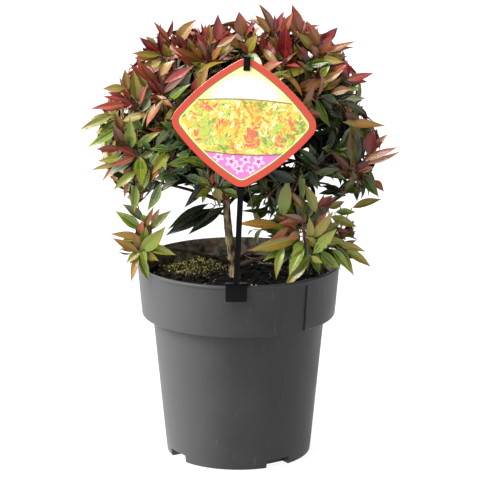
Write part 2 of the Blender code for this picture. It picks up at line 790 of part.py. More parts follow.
def clip_boxes():
    """The clip's plates outside, above and inside the pot's rim, as corners."""
    left, right = STEM_FOOT.x - CLIP_WIDTH / 2, STEM_FOOT.x + CLIP_WIDTH / 2
    outer = -RIM_RADIUS - GAP
    inner = -RIM_RADIUS + WALL + CLIP_REACH
    bottom = POT_HEIGHT + GAP - CLIP_DROP
    top = POT_HEIGHT + GAP
    return (
        (Vector((left, outer - CLIP_PLATE, bottom)), Vector((right, outer, top + CLIP_PLATE))),
        (
            Vector((left, outer - CLIP_PLATE / 2, top)),
            Vector((right, inner + CLIP_PLATE, top + CLIP_PLATE)),
        ),
        (
            Vector((left, inner, bottom + 2.0 * MM)),
            Vector((right, inner + CLIP_PLATE, top + CLIP_PLATE / 2)),
        ),
    )


def build_label_stem(parts):
    """Clip over the rim, a stem of two flanges and a web, its collar, and the hook over the label."""
    pieces = bpy.data.collections.new("stem_pieces")
    bpy.context.scene.collection.children.link(pieces)
    outside, *rest = clip_boxes()
    clip = box("label_stem", *outside, parts)
    clip.data.materials.append(plain_material("stem_plastic", (0.012, 0.012, 0.013), 0.32))
    for low, high in rest:
        box("clip_plate", low, high, pieces)
    placing = stem_placing(STEM_FOOT.z)
    for low, high in stem_boxes():
        box("stem_part", low, high, pieces, placing)
    return fuse(clip, pieces)


def solid_tree(thing):
    """A search tree of an object's evaluated surface."""
    mesh = evaluated_mesh(thing)
    shape = bmesh.new()
    shape.from_mesh(mesh)
    bpy.data.meshes.remove(mesh)
    bmesh.ops.triangulate(shape, faces=shape.faces)
    tree = BVHTree.FromBMesh(shape)
    shape.free()
    return tree


def main():
    """Build the pot and its filling, then the limbs and the label, and last the foliage round them."""
    clear_scene()
    parts = new_collection("potted_lilly_pilly")
    cutters = new_collection("cutters", drawn=False)
    bark = plain_material("bark", (0.16, 0.10, 0.065), 0.85)
    leaves = plain_material("leaves", (0.10, 0.16, 0.035), 0.4)
    solids = [build_pot(parts, cutters), build_soil(parts, cutters)]
    solids.append(build_trunk("trunk", 0.0, parts, bark))
    trunk_space = as_cutter(build_trunk("trunk_space", GAP, cutters))
    for mass in MASSES:
        if mass.bough:
            solids.append(build_bough(mass, trunk_space, parts, bark))
    solids.append(build_label(parts))
    solids.append(build_label_stem(parts))
    trees = [solid_tree(solid) for solid in solids]
    for mass in MASSES:
        grow_mass(mass, trees, parts, leaves)


main()
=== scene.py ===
"""Looks of a potted lilly pilly: glossy young leaves, twigs, bark, potting mix, pot and picture label.

Metres, +Z up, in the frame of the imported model. The front is -Y.
"""

import logging
import math
import random
from dataclasses import dataclass, field
from enum import Enum
from typing import Callable, Iterator, Sequence

import bmesh
import bpy
import numpy as np
from mathutils import Matrix, Vector, noise
from mathutils.bvhtree import BVHTree


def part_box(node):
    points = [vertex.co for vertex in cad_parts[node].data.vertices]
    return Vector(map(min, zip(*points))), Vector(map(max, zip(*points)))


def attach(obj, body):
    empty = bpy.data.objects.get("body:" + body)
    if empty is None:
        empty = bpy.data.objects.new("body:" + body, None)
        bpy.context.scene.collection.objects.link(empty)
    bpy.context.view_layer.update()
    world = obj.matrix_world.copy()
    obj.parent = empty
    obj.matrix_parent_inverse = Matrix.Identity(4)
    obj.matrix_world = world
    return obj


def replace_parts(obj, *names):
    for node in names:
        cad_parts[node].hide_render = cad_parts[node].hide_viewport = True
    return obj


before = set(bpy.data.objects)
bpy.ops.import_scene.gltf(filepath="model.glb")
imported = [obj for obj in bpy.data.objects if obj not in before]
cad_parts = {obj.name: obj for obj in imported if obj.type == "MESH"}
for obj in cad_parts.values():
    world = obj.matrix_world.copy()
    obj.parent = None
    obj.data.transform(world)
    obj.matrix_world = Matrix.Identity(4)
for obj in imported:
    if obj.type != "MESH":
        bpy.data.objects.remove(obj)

MM = 0.001
BODY = "root"
UP = Vector((0.0, 0.0, 1.0))
LOG = logging.getLogger("lilly_pilly")

Colour = tuple[float, float, float]
Socket = bpy.types.NodeSocket
Faces = list[tuple[int, ...]]


class Slot(Enum):
    """The record's material slots."""

    POT = "pot_plastic"
    MIX = "potting_mix"
    BARK = "bark"
    LEAF = "foliage"
    CARD = "label_card"
    STEM = "stem_plastic"


class Flush(Enum):
    """A spray's tints, as places on the leaf ramp: youngest, middle and oldest leaf, then tip blush."""

    CRIMSON = (10.5, 8.3, 4.9, 1.0)
    RUST = (10.0, 7.0, 4.3, 1.2)
    BRONZE = (9.3, 5.9, 3.7, 1.4)
    OLIVE = (8.4, 4.7, 3.1, 1.5)
    LIME = (7.4, 4.3, 3.6, 1.8)
    GREEN = (5.2, 3.3, 2.4, 0.9)
    DEEP = (2.6, 1.9, 1.2, 0.4)
    SHADE = (1.4, 0.8, 0.3, 0.2)


def linear(red: int, green: int, blue: int) -> Colour:
    """Return a screen colour, with channels from 0 to 255, in linear light from 0 to 1."""
    shares = [channel / 255.0 for channel in (red, green, blue)]
    return tuple(s / 12.92 if s <= 0.04045 else ((s + 0.055) / 1.055) ** 2.4 for s in shares)


def mixed(start: float, end: float, share: float) -> float:
    """Return the value a share of the way from start to end."""
    return start + (end - start) * share


class Graph:
    """A new material and short calls for the nodes that its finish needs."""

    FACING_IN = -40 * MM
    EDGE_ON = -20 * MM

    def __init__(self, name: str) -> None:
        """Make the material with its Principled shader.

        Args:
            name: The material's name.
        """
        self.material = bpy.data.materials.new(name)
        self.material.use_nodes = True
        self.tree = self.material.node_tree
        self.shader = self.tree.nodes["Principled BSDF"]

    def constant(self, **sockets: float | Colour) -> None:
        """Set constants on the shader's own sockets.

        Args:
            sockets: Socket names in lower case with _ for a space, and their values.
        """
        by_name = {socket.name.lower().replace(" ", "_"): socket for socket in self.shader.inputs}
        for name, value in sockets.items():
            by_name[name].default_value = (*value, 1.0) if isinstance(value, tuple) else value

    def node(self, kind: str, **settings: object) -> bpy.types.Node:
        """Add a node with the given settings.

        Args:
            kind: Blender's name for the kind of node.
            settings: Its properties and their values.

        Returns:
            The new node.
        """
        made = self.tree.nodes.new(kind)
        for name, value in settings.items():
            setattr(made, name, value)
        return made

    def place(
        self, stretch: tuple[float, float, float] = (1.0, 1.0, 1.0), space: str = "Object"
    ) -> Socket:
        """Return a coordinate socket, stretched by the given scale along each axis.

        Args:
            stretch: The scale along each axis.
            space: Which of the surface's coordinates to take.

        Returns:
            The socket that holds them.
        """
        source = self.node("ShaderNodeTexCoord")
        mapping = self.node("ShaderNodeMapping")
        mapping.inputs["Scale"].default_value = stretch
        self.tree.links.new(source.outputs[space], mapping.inputs["Vector"])
        return mapping.outputs["Vector"]

    def noise(self, vector: Socket, scale: float, detail: float = 3.0) -> Socket:
        """Return the factor of a noise texture.

        Args:
            vector: The coordinates.
            scale: How fine the texture is.
            detail: How many finer layers it has.

        Returns:
            The socket of its factor.
        """
        made = self.node("ShaderNodeTexNoise")
        made.inputs["Scale"].default_value = scale
        made.inputs["Detail"].default_value = detail
        self.tree.links.new(vector, made.inputs["Vector"])
        return made.outputs["Fac"]

    def ramp(self, factor: Socket, stops: Sequence[tuple[float, Colour]]) -> Socket:
        """Return the colour of a ramp through the given stops.

        Args:
            factor: The value that runs along the ramp.
            stops: Places on the ramp and their colours.

        Returns:
            The socket of the colour.
        """
        made = self.node("ShaderNodeValToRGB")
        while len(made.color_ramp.elements) < len(stops):
            made.color_ramp.elements.new(0.5)
        for element, (position, colour) in zip(made.color_ramp.elements, stops):
            element.position = position
            element.color = (*colour, 1.0)
        self.tree.links.new(factor, made.inputs["Fac"])
        return made.outputs["Color"]

    def fitted(self, value: Socket, low: float, high: float, start: float, end: float) -> Socket:
        """Return a value mapped from low..high to start..end, and held there outside it.

        Args:
            value: The value to map.
            low: Where it starts.
            high: Where it ends.
            start: What the start becomes.
            end: What the end becomes.

        Returns:
            The socket of the new value.
        """
        made = self.node("ShaderNodeMapRange")
        for name, number in zip(("From Min", "From Max", "To Min", "To Max"), (low, high, start, end)):
            made.inputs[name].default_value = number
        self.tree.links.new(value, made.inputs["Value"])
        return made.outputs["Result"]

    def blended(self, factor: Socket, first: Socket, second: Colour) -> Socket:
        """Return the first colour mixed towards the second by a factor.

        Args:
            factor: How much of the second colour shows.
            first: The socket of the first colour.
            second: The second colour.

        Returns:
            The socket of the mixed colour.
        """
        made = self.node("ShaderNodeMix", data_type="RGBA")
        made.inputs[7].default_value = (*second, 1.0)
        self.tree.links.new(factor, made.inputs[0])
        self.tree.links.new(first, made.inputs[6])
        return made.outputs[2]

    def near(self, spot: Vector, reach: float) -> Socket:
        """Return 1 at a spot of the object, falling to 0 at the given reach.

        Args:
            spot: The spot, in the object's own coordinates.
            reach: How far from it the value gets to 0.

        Returns:
            The socket of the value.
        """
        apart = self.node("ShaderNodeVectorMath", operation="DISTANCE")
        apart.inputs[1].default_value = spot
        self.tree.links.new(self.place(), apart.inputs[0])
        return self.fitted(apart.outputs["Value"], 0.0, reach, 1.0, 0.0)

    def facing_axis(self) -> Socket:
        """Return 1 where the surface faces the object's upright axis and 0 where it faces away.

        Returns:
            The socket of the value.
        """
        outward = self.node("ShaderNodeVectorMath", operation="DOT_PRODUCT")
        surface = self.node("ShaderNodeNewGeometry")
        self.tree.links.new(self.place((1.0, 1.0, 0.0)), outward.inputs[0])
        self.tree.links.new(surface.outputs["True Normal"], outward.inputs[1])
        return self.fitted(outward.outputs["Value"], self.FACING_IN, self.EDGE_ON, 1.0, 0.0)

    def across(self) -> Socket:
        """Return the distance to the right of the object's origin.

        Returns:
            The socket of the distance.
        """
        parts = self.node("ShaderNodeSeparateXYZ")
        self.tree.links.new(self.place(), parts.inputs[0])
        return parts.outputs["X"]

    def height(self) -> Socket:
        """Return the height above the object's origin.

        Returns:
            The socket of the height.
        """
        parts = self.node("ShaderNodeSeparateXYZ")
        self.tree.links.new(self.place(), parts.inputs["Vector"])
        return parts.outputs["Z"]

    def product(self, first: Socket, second: Socket) -> Socket:
        """Return the product of two values.

        Args:
            first: The first value.
            second: The second value.

        Returns:
            The socket of the product.
        """
        made = self.node("ShaderNodeMath", operation="MULTIPLY")
        self.tree.links.new(first, made.inputs[0])
        self.tree.links.new(second, made.inputs[1])
        return made.outputs["Value"]

    def feed(self, output: Socket, name: str) -> None:
        """Link an output to one of the shader's sockets."""
        self.tree.links.new(output, self.shader.inputs[name])

    def bump(self, height: Socket, strength: float, distance: float) -> None:
        """Raise the surface by a height map.

        Args:
            height: The socket of the height map.
            strength: How much of it shows.
            distance: The height in metres that its full range stands for.
        """
        made = self.node("ShaderNodeBump")
        made.inputs["Strength"].default_value = strength
        made.inputs["Distance"].default_value = distance
        self.tree.links.new(height, made.inputs["Height"])
        self.feed(made.outputs["Normal"], "Normal")


@dataclass(frozen=True)
class LeafFinish:
    """A waxy leaf surface of one plain colour, with faint veins in its relief."""

    name: str
    colour: Colour
    roughness: float = 0.36
    gloss: float = 0.4

    def material(self) -> bpy.types.Material:
        """Return the finish as a material.

        Returns:
            The new material.
        """
        graph = Graph(self.name)
        graph.constant(base_color=self.colour, specular_ior_level=self.gloss)
        spread = graph.noise(graph.place(), 260.0, 2.0)
        low, high = self.roughness - 0.05, self.roughness + 0.07
        graph.feed(graph.fitted(spread, 0.3, 0.7, low, high), "Roughness")
        wave = graph.node("ShaderNodeTexWave", bands_direction="Y")
        wave.inputs["Scale"].default_value = 3.4
        wave.inputs["Distortion"].default_value = 1.2
        graph.tree.links.new(graph.place(space="UV"), wave.inputs["Vector"])
        graph.bump(wave.outputs["Fac"], 0.12, 0.0004)
        return graph.material


@dataclass(frozen=True)
class BarkFinish:
    """Bark with fissures that run along the limb, over a smoother young skin."""

    name: str
    dark: Colour
    light: Colour
    roughness: float
    grain: float

    def material(self) -> bpy.types.Material:
        """Return the finish as a material.

        Returns:
            The new material.
        """
        graph = Graph(self.name)
        along = graph.place((1.0, 1.0, 0.22))
        fissure = graph.noise(along, self.grain, 6.0)
        colour = graph.ramp(fissure, ((0.38, self.dark), (0.52, self.light), (0.68, self.dark)))
        patch = graph.noise(graph.place((1.0, 1.0, 0.6)), self.grain * 0.45, 3.0)
        worn = graph.fitted(patch, 0.48, 0.6, 0.0, 0.75)
        graph.feed(graph.blended(worn, colour, self.dark), "Base Color")
        graph.constant(roughness=self.roughness)
        graph.bump(fissure, 0.6, 0.0008)
        return graph.material


@dataclass(frozen=True)
class MoundFinish:
    """Crumbly ground: two tones broken up by fine grains."""

    name: str
    dark: Colour
    light: Colour
    scale: float
    roughness: float = 0.92

    def material(self) -> bpy.types.Material:
        """Return the finish as a material.

        Returns:
            The new material.
        """
        graph = Graph(self.name)
        place = graph.place()
        crumbs = graph.noise(place, self.scale, 6.0)
        graph.feed(graph.ramp(crumbs, ((0.36, self.dark), (0.66, self.light))), "Base Color")
        graph.constant(roughness=self.roughness, specular_ior_level=0.1)
        graph.bump(graph.noise(place, self.scale * 2.6, 4.0), 0.7, 0.0012)
        return graph.material


@dataclass(frozen=True)
class PotPlastic:
    """Dark nursery-pot plastic with cloudy wear, painted light that makes it paler on the left, dusty
    inside above the soil.
    """

    name: str = "pot_plastic_dark_grey"
    dark: Colour = linear(35, 35, 36)
    light: Colour = linear(47, 47, 48)
    scuff: Colour = linear(100, 100, 102)
    # Painted light: the paler tone, and how far towards the left it spreads.
    painted_light_tone: Colour = linear(78, 78, 79)
    painted_light_share: float = 0.85
    painted_light_from: float = -5.0 * MM
    painted_light_to: float = -75.0 * MM
    dust: Colour = linear(156, 144, 120)
    stain: Colour = linear(150, 104, 62)
    stain_spot: tuple[float, float, float] = (-26 * MM, 84 * MM, 187 * MM)
    stain_reach: float = 14 * MM
    dust_foot: float = 172 * MM

    def material(self) -> bpy.types.Material:
        """Return the finish as a material.

        Returns:
            The new material.
        """
        graph = Graph(self.name)
        place = graph.place()
        cloud = graph.noise(place, 22.0, 5.0)
        colour = graph.ramp(cloud, ((0.3, self.dark), (0.7, self.light)))
        scratch = graph.noise(graph.place((1.0, 1.0, 0.06)), 420.0, 2.0)
        colour = graph.blended(graph.fitted(scratch, 0.66, 0.8, 0.0, 0.35), colour, self.scuff)
        # Painted light: the plastic turns paler towards the left, where the light falls on it.
        across = graph.across()
        painted_light = graph.fitted(across, self.painted_light_from, self.painted_light_to, 0.0, self.painted_light_share)
        colour = graph.blended(painted_light, colour, self.painted_light_tone)
        above = graph.fitted(graph.height(), self.dust_foot, self.dust_foot + 3 * MM, 0.0, 1.0)
        crumbs = graph.fitted(graph.noise(place, 150.0, 5.0), 0.4, 0.62, 0.1, 0.85)
        dusty = graph.product(graph.product(graph.facing_axis(), above), crumbs)
        colour = graph.blended(dusty, colour, self.dust)
        damp = graph.product(graph.near(Vector(self.stain_spot), self.stain_reach), cloud)
        colour = graph.blended(graph.fitted(damp, 0.1, 0.4, 0.0, 0.8), colour, self.stain)
        graph.feed(colour, "Base Color")
        graph.constant(specular_ior_level=0.36)
        graph.feed(graph.fitted(cloud, 0.3, 0.7, 0.4, 0.52), "Roughness")
        graph.bump(graph.noise(place, 1400.0, 2.0), 0.12, 0.0003)
        return graph.material


@dataclass(frozen=True)
class MouldedPlastic:
    """Smooth moulded plastic with a little handling wear."""

    name: str
    colour: Colour
    roughness: float = 0.28

    def material(self) -> bpy.types.Material:
        """Return the finish as a material.

        Returns:
            The new material.
        """
        graph = Graph(self.name)
        graph.constant(base_color=self.colour, specular_ior_level=0.1)
        wear = graph.noise(graph.place(), 190.0, 4.0)
        graph.feed(graph.fitted(wear, 0.3, 0.7, self.roughness, self.roughness + 0.16), "Roughness")
        graph.bump(wear, 0.1, 0.0002)
        return graph.material


@dataclass(frozen=True)
class PrintedCard:
    """Laminated card printed in one colour, under a soft sheen."""

    name: str
    colour: Colour

    def material(self) -> bpy.types.Material:
        """Return the finish as a material.

        Returns:
            The new material.
        """
        graph = Graph(self.name)
        graph.constant(base_color=self.colour, coat_weight=0.15, coat_roughness=0.3)
        sheen = graph.noise(graph.place(), 90.0, 3.0)
        graph.feed(graph.fitted(sheen, 0.3, 0.7, 0.36, 0.48), "Roughness")
        return graph.material


@dataclass
class Shapes:
    """Points and faces gathered from many small shapes, to be joined in one piece."""

    points: list[np.ndarray] = field(default_factory=list)
    faces: Faces = field(default_factory=list)
    tints: list[int] = field(default_factory=list)
    charts: list[np.ndarray] = field(default_factory=list)
    count: int = 0

    def add(
        self,
        points: np.ndarray,
        faces: Sequence[Sequence[int]],
        tints: Sequence[int] | int = 0,
        chart: np.ndarray | None = None,
    ) -> None:
        """Add one shape.

        Args:
            points: Its points, one row each.
            faces: Its faces, as places in those rows.
            tints: A material place for each face, or one for all.
            chart: Flat coordinates for each point.
        """
        self.points.append(np.asarray(points, dtype=float))
        self.faces.extend(tuple(corner + self.count for corner in face) for face in faces)
        self.tints.extend([tints] * len(faces) if isinstance(tints, int) else tints)
        if chart is not None:
            self.charts.append(chart)
        self.count += len(points)

    def piece(
        self, name: str, finishes: Sequence[bpy.types.Material], slot: Slot, smooth: bool = True
    ) -> bpy.types.Object:
        """Make the joined piece, riding on the plant's body.

        Args:
            name: The piece's name.
            finishes: Its materials.
            slot: The record's slot that it takes its finish from.
            smooth: Whether its faces are shaded smooth.

        Returns:
            The new object.
        """
        mesh = bpy.data.meshes.new(name)
        mesh.from_pydata(np.concatenate(self.points).tolist(), [], self.faces)
        for finish in finishes:
            mesh.materials.append(finish)
        mesh.polygons.foreach_set("material_index", self.tints)
        mesh.polygons.foreach_set("use_smooth", [smooth] * len(mesh.polygons))
        if self.charts:
            corners = np.empty(len(mesh.loops), dtype=np.int64)
            mesh.loops.foreach_get("vertex_index", corners)
            layer = mesh.uv_layers.new(name="leaf")
            layer.data.foreach_set("uv", np.concatenate(self.charts)[corners].ravel())
        return dressed(bpy.data.objects.new(name, mesh), slot)


def dressed(piece: bpy.types.Object, slot: Slot) -> bpy.types.Object:
    """Link a piece to the scene and ride it on the plant's body.

    Args:
        piece: The new object.
        slot: The record's material slot; not used.

    Returns:
        The same object.
    """
    if not piece.users_collection:
        bpy.context.scene.collection.objects.link(piece)
    piece.data.update()
    triangles = sum(len(face.vertices) - 2 for face in piece.data.polygons)
    LOG.info("%s: %d triangles", piece.name, triangles)
    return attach(piece, BODY)


def sharpened(piece: bpy.types.Object, degrees: float) -> bpy.types.Object:
    """Shade a piece smooth, with edges above the given angle kept sharp.

    Args:
        piece: The object to shade.
        degrees: The angle between two faces.

    Returns:
        The same object.
    """
    piece.data.shade_smooth()
    piece.data.set_sharp_from_angle(angle=math.radians(degrees))
    return piece


class Round:
    """Rings of points along a path, for limbs, twigs and chips."""

    def __init__(self, sides: int) -> None:
        """Keep the number of sides of every ring."""
        self.sides = sides
        self.turns = [2 * math.pi * side / sides for side in range(sides)]

    def rings(
        self,
        path: Sequence[Vector],
        radii: Sequence[float],
        relief: Callable[[Vector], float] | None = None,
    ) -> tuple[np.ndarray, Faces]:
        """Walk a path and set a ring of points round each of its points.

        Args:
            path: The middle line.
            radii: The radius at each point of it.
            relief: A function of a point that gives an added height.

        Returns:
            The points and the faces of a closed tube.
        """
        points = []
        side = (path[1] - path[0]).orthogonal().normalized()
        for number, (middle, radius) in enumerate(zip(path, radii)):
            ahead = path[min(number + 1, len(path) - 1)] - path[max(number - 1, 0)]
            way = ahead.normalized()
            side = (side - way * side.dot(way)).normalized()
            other = way.cross(side)
            for turn in self.turns:
                out = side * math.cos(turn) + other * math.sin(turn)
                spot = middle + out * radius
                if relief:
                    spot += out * relief(spot)
                points.append(spot)
        faces = []
        for row in range(len(path) - 1):
            for turn in range(self.sides):
                after = (turn + 1) % self.sides
                low, high = row * self.sides, (row + 1) * self.sides
                faces.append((low + turn, low + after, high + after, high + turn))
        faces.append(tuple(reversed(range(self.sides))))
        last = (len(path) - 1) * self.sides
        faces.append(tuple(last + turn for turn in range(self.sides)))
        return np.array(points), faces


def smoothed(points: Sequence[Vector], steps: int) -> list[Vector]:
    """Return a Catmull-Rom curve through points.

    Args:
        points: The points to run through.
        steps: How many stretches the curve has between two of them.

    Returns:
        The curve's points.
    """
    padded = [points[0] * 2 - points[1], *points, points[-1] * 2 - points[-2]]
    curve = []
    for a, b, c, d in zip(padded, padded[1:], padded[2:], padded[3:]):
        for step in range(steps):
            t = step / steps
            squared = (a * 2 - b * 5 + c * 4 - d) * t**2
            cubed = (b * 3 - a - c * 3 + d) * t**3
            curve.append((b * 2 + (c - a) * t + squared + cubed) / 2)
    return [*curve, points[-1].copy()]


@dataclass(frozen=True)
class Mass:
    """One mass of foliage: where its middle is, how far its shoots reach, and what bears it."""

    name: str
    azimuth: float
    radius: float
    height: float
    reach: float
    shoots: int
    springs: float
    bough: bool = True
    leaf: float = 1.0
    droop: float = 0.0

    @property
    def middle(self) -> Vector:
        """The mass's middle."""
        angle = math.radians(self.azimuth)
        return Vector((self.radius * math.cos(angle), self.radius * math.sin(angle), self.height)) * MM

    @property
    def is_foot(self) -> bool:
        """Whether the mass grows below the crown, over the pot's rim."""
        return self.height < 245.0


# Name, azimuth from +X in degrees, radius, height and reach in mm, number of shoots, and the height in mm
# where its bough leaves the trunk, with 0 for the trunk's end.
MASSES = (
    Mass("mid_right", 356, 92, 302, 30, 4, 270),
    Mass("mid_right_back", 42, 90, 312, 30, 4, 287),
    Mass("mid_back", 88, 88, 314, 30, 4, 276),
    Mass("mid_left_back", 134, 90, 314, 30, 4, 293),
    Mass("mid_left", 180, 94, 316, 30, 4, 267),
    Mass("mid_left_front", 222, 94, 312, 30, 4, 284),
    Mass("mid_front", 268, 66, 320, 24, 4, 273),
    Mass("mid_right_front", 316, 94, 308, 30, 4, 290),
    Mass("high_right", 352, 80, 362, 29, 4, 309),
    Mass("high_right_back", 50, 70, 368, 28, 4, 322),
    Mass("high_left_back", 112, 70, 368, 28, 4, 315),
    Mass("high_left", 178, 67, 365, 28, 4, 300),
    Mass("high_left_front", 236, 66, 372, 27, 4, 328),
    Mass("high_right_front", 302, 64, 374, 27, 4, 319),
    Mass("top_right", 340, 36, 400, 25, 4, 0, bough=False),
    Mass("top_left", 165, 34, 396, 25, 4, 333),
    Mass("low_left", 184, 94, 268, 27, 4, 250, droop=0.35),
    Mass("low_front", 238, 38, 272, 18, 3, 262, leaf=0.85),
    Mass("low_right_front", 328, 66, 282, 24, 3, 256, droop=0.2),
    Mass("low_right", 8, 100, 262, 26, 4, 264, droop=0.3),
    Mass("low_right_back", 62, 78, 274, 26, 3, 247, droop=0.2),
    Mass("low_left_back", 128, 80, 274, 26, 3, 259, droop=0.2),
    Mass("hanging_left", 196, 34, 240, 14, 2, 238, bough=False, leaf=1.1, droop=0.9),
    Mass("foot_right", 306, 68, 236, 30, 5, 193, leaf=1.15),
    Mass("foot_right_rim", 333, 97, 218, 22, 4, 186, leaf=1.05),
    Mass("foot_left", 211, 106, 222, 15, 3, 189),
)


@dataclass(frozen=True)
class Limbs:
    """The rule by which the trunk, the boughs and their shoots grow, the same as in the solids."""

    trunk_foot: Vector = field(default_factory=lambda: Vector((-3.4, 0.0, 177.3)) * MM)
    trunk_length: float = 172.0 * MM
    trunk_lean: float = 8.8 * MM
    trunk_sway: float = 2.0 * MM
    trunk_radius: float = 4.4 * MM
    trunk_tip_radius: float = 2.2 * MM
    flare: float = 2.4 * MM
    flare_height: float = 6.0 * MM
    bough_radius: float = 2.1 * MM
    bough_share: float = 0.72
    bough_rise: float = 0.16
    stem_radius: float = 1.3 * MM
    twig_radius: float = 1.0 * MM
    spread: float = math.radians(58.0)
    skyward: float = 0.28
    crown_heart: Vector = field(default_factory=lambda: Vector((-4.0, 0.0, 298.0)) * MM)

    def trunk_point(self, height: float) -> Vector:
        """Return the middle of the trunk at a height above the ground.

        Args:
            height: The height above the ground.

        Returns:
            The point.
        """
        share = (height - self.trunk_foot.z) / self.trunk_length
        x = self.trunk_foot.x - self.trunk_lean * math.sin(math.pi * share)
        y = self.trunk_foot.y + self.trunk_sway * math.sin(2 * math.pi * share)
        return Vector((x, y, height))

    def trunk_width(self, height: float) -> float:
        """Return the trunk's radius at a height, with the root flare at its foot.

        Args:
            height: The height above the ground.

        Returns:
            The radius there.
        """
        above = max(height - self.trunk_foot.z, 0.0)
        taper = mixed(self.trunk_radius, self.trunk_tip_radius, above / self.trunk_length)
        return taper + self.flare * math.exp(-above / self.flare_height)

    def growing_way(self, mass: Mass) -> Vector:
        """Return the direction in which a mass grows out from the crown, turned a little to the sky.

        Args:
            mass: The mass of foliage.

        Returns:
            The direction, with length 1.
        """
        heart = self.trunk_point(mass.springs * MM) if mass.is_foot else self.crown_heart
        way = (mass.middle - heart).normalized()
        return (way + UP * (self.skyward - mass.droop)).normalized()

    def heart(self, mass: Mass) -> Vector:
        """Return the point inside a mass where its stem parts into shoots."""
        return mass.middle - self.growing_way(mass) * mass.reach * 0.45 * MM

    def bough(self, mass: Mass) -> list[Vector]:
        """Return the line from inside the trunk, along a mass's bough and stem, to its heart.

        Args:
            mass: The mass of foliage.

        Returns:
            The line's points.
        """
        heart = self.heart(mass)
        if mass.springs == 0:
            start = self.trunk_point(self.trunk_foot.z + self.trunk_length)
        else:
            start = self.trunk_point(mass.springs * MM)
        if not mass.bough:
            return [start.lerp(heart, step / 6) for step in range(7)]
        span = heart - start
        control = start + Vector((span.x, span.y, span.z * 0.35)) * 0.5
        control.z += span.length * self.bough_rise
        kept = []
        for step in range(6):
            t = self.bough_share * step / 5
            kept.append(start * (1 - t) ** 2 + control * 2 * t * (1 - t) + heart * t**2)
        return [*kept, kept[-1].lerp(heart, 0.5), heart]

    def shoot_tips(self, mass: Mass, holds: Callable[[Vector], bool]) -> list[Vector]:
        """Find the ends of a mass's shoots: one straight out, the others spread evenly round it.

        Args:
            mass: The mass that the shoots belong to.
            holds: Whether a point lies in the space that the mass may fill.

        Returns:
            The ends of the shoots.
        """
        chance = random.Random(f"shoots of {mass.name}")
        way = self.growing_way(mass)
        aside = way.orthogonal().normalized()
        turn = chance.uniform(0.0, 2 * math.pi)
        tips = []
        for number in range(mass.shoots):
            tilt = 0.0 if number == 0 else self.spread * chance.uniform(0.85, 1.15)
            spin = turn + 2 * math.pi * number / max(mass.shoots - 1, 1) + chance.uniform(-0.3, 0.3)
            ray = Matrix.Rotation(spin, 3, way) @ Matrix.Rotation(tilt, 3, aside) @ way
            for share in (1.0, 0.85, 0.7, 0.55, 0.4):
                tip = mass.middle + ray * mass.reach * share * MM
                beyond = tip + ray * 12.0 * MM
                if holds(tip) and holds(beyond):
                    tips.append(tip)
                    break
        return tips


@dataclass(frozen=True)
class CrownForm:
    """The crown's outline, and the clear space that the label and its stem keep in front of it."""

    middle: Vector = field(default_factory=lambda: Vector((1.0, 4.0, 306.0)) * MM)
    half_width: float = 158.0 * MM
    half_depth: float = 150.0 * MM
    rise: float = 139.0 * MM
    drop: float = 84.0 * MM
    squareness: float = 1.95
    stem_foot: Vector = field(default_factory=lambda: Vector((-2.2, -101.0, 194.0)) * MM)
    stem_top: Vector = field(default_factory=lambda: Vector((7.9, -121.0, 412.0)) * MM)
    stem_width: float = 5.4 * MM
    label_width: float = 132.0 * MM
    label_side: float = 4.0 * MM
    label_foot_share: float = 0.42
    label_clearance: float = 7.0 * MM
    cell_margin: float = 0.25 * MM

    def outwardness(self, point: Vector) -> float:
        """Return how far out a point lies: 0 at the crown's middle and 1 at its outline.

        Args:
            point: The point.

        Returns:
            Its share of the way out.
        """
        away = point - self.middle
        height = self.rise if away.z > 0 else self.drop
        flat = math.hypot(away.x / self.half_width, away.y / self.half_depth)
        return flat**self.squareness + abs(away.z / height) ** self.squareness

    def in_crown(self, point: Vector) -> bool:
        """Tell whether a point lies within the crown's outline."""
        return self.outwardness(point) < 1.0

    def behind_label(self, point: Vector) -> bool:
        """Tell whether a point is clear of the label and the stem behind it.

        Args:
            point: The point.

        Returns:
            Whether it is clear of both.
        """
        share = (point.z - self.stem_foot.z) / (self.stem_top.z - self.stem_foot.z)
        line = self.stem_foot.lerp(self.stem_top, share)
        beside_label = share > self.label_foot_share
        half = self.label_width / 2 + self.label_side if beside_label else self.stem_width
        if abs(point.x - line.x) > half or share < 0.0:
            return True
        return point.y > line.y + self.label_clearance

    def cell(self, mass: Mass) -> Callable[[Vector], bool]:
        """Return the test for a mass's own space: its share of the crown, behind the label.

        Args:
            mass: The mass of foliage.

        Returns:
            A function that tells whether a point lies in the mass's space.
        """
        middle = mass.middle
        others = [other.middle - middle for other in MASSES if other is not mass]
        walls = [(apart.normalized(), apart.length / 2 - self.cell_margin) for apart in others]

        def holds(point: Vector) -> bool:
            """Tell whether a point lies in the mass's space.

            Args:
                point: The point.

            Returns:
                Whether it lies there.
            """
            if not mass.is_foot and not self.in_crown(point):
                return False
            if not self.behind_label(point):
                return False
            away = point - middle
            return all(away.dot(way) <= limit for way, limit in walls)

        return holds

    def surface(self, way: Vector) -> Vector:
        """Return the point of the crown's outline in a direction from its middle.

        Args:
            way: The direction, with length 1.

        Returns:
            The point on the outline.
        """
        low, high = 0.0, 0.3
        for _ in range(24):
            half = (low + high) / 2
            if self.in_crown(self.middle + way * half):
                low = half
            else:
                high = half
        return self.middle + way * low


@dataclass(frozen=True)
class Sprig:
    """A leafy twig: where it starts and ends, how many pairs of leaves it bears, and their tints."""

    start: Vector
    tip: Vector
    pairs: int
    leaf: float
    flush: Flush
    seed: str
    free: bool = False
    radius: float = 1.0 * MM


@dataclass(frozen=True)
class Blade:
    """One leaf: its size, the fold at its midrib, its bends and twist, and the wave of its margins."""

    length: float
    width: float
    fold: float
    curl: float
    twist: float
    wave: float
    phase: float
    sickle: float = 0.0


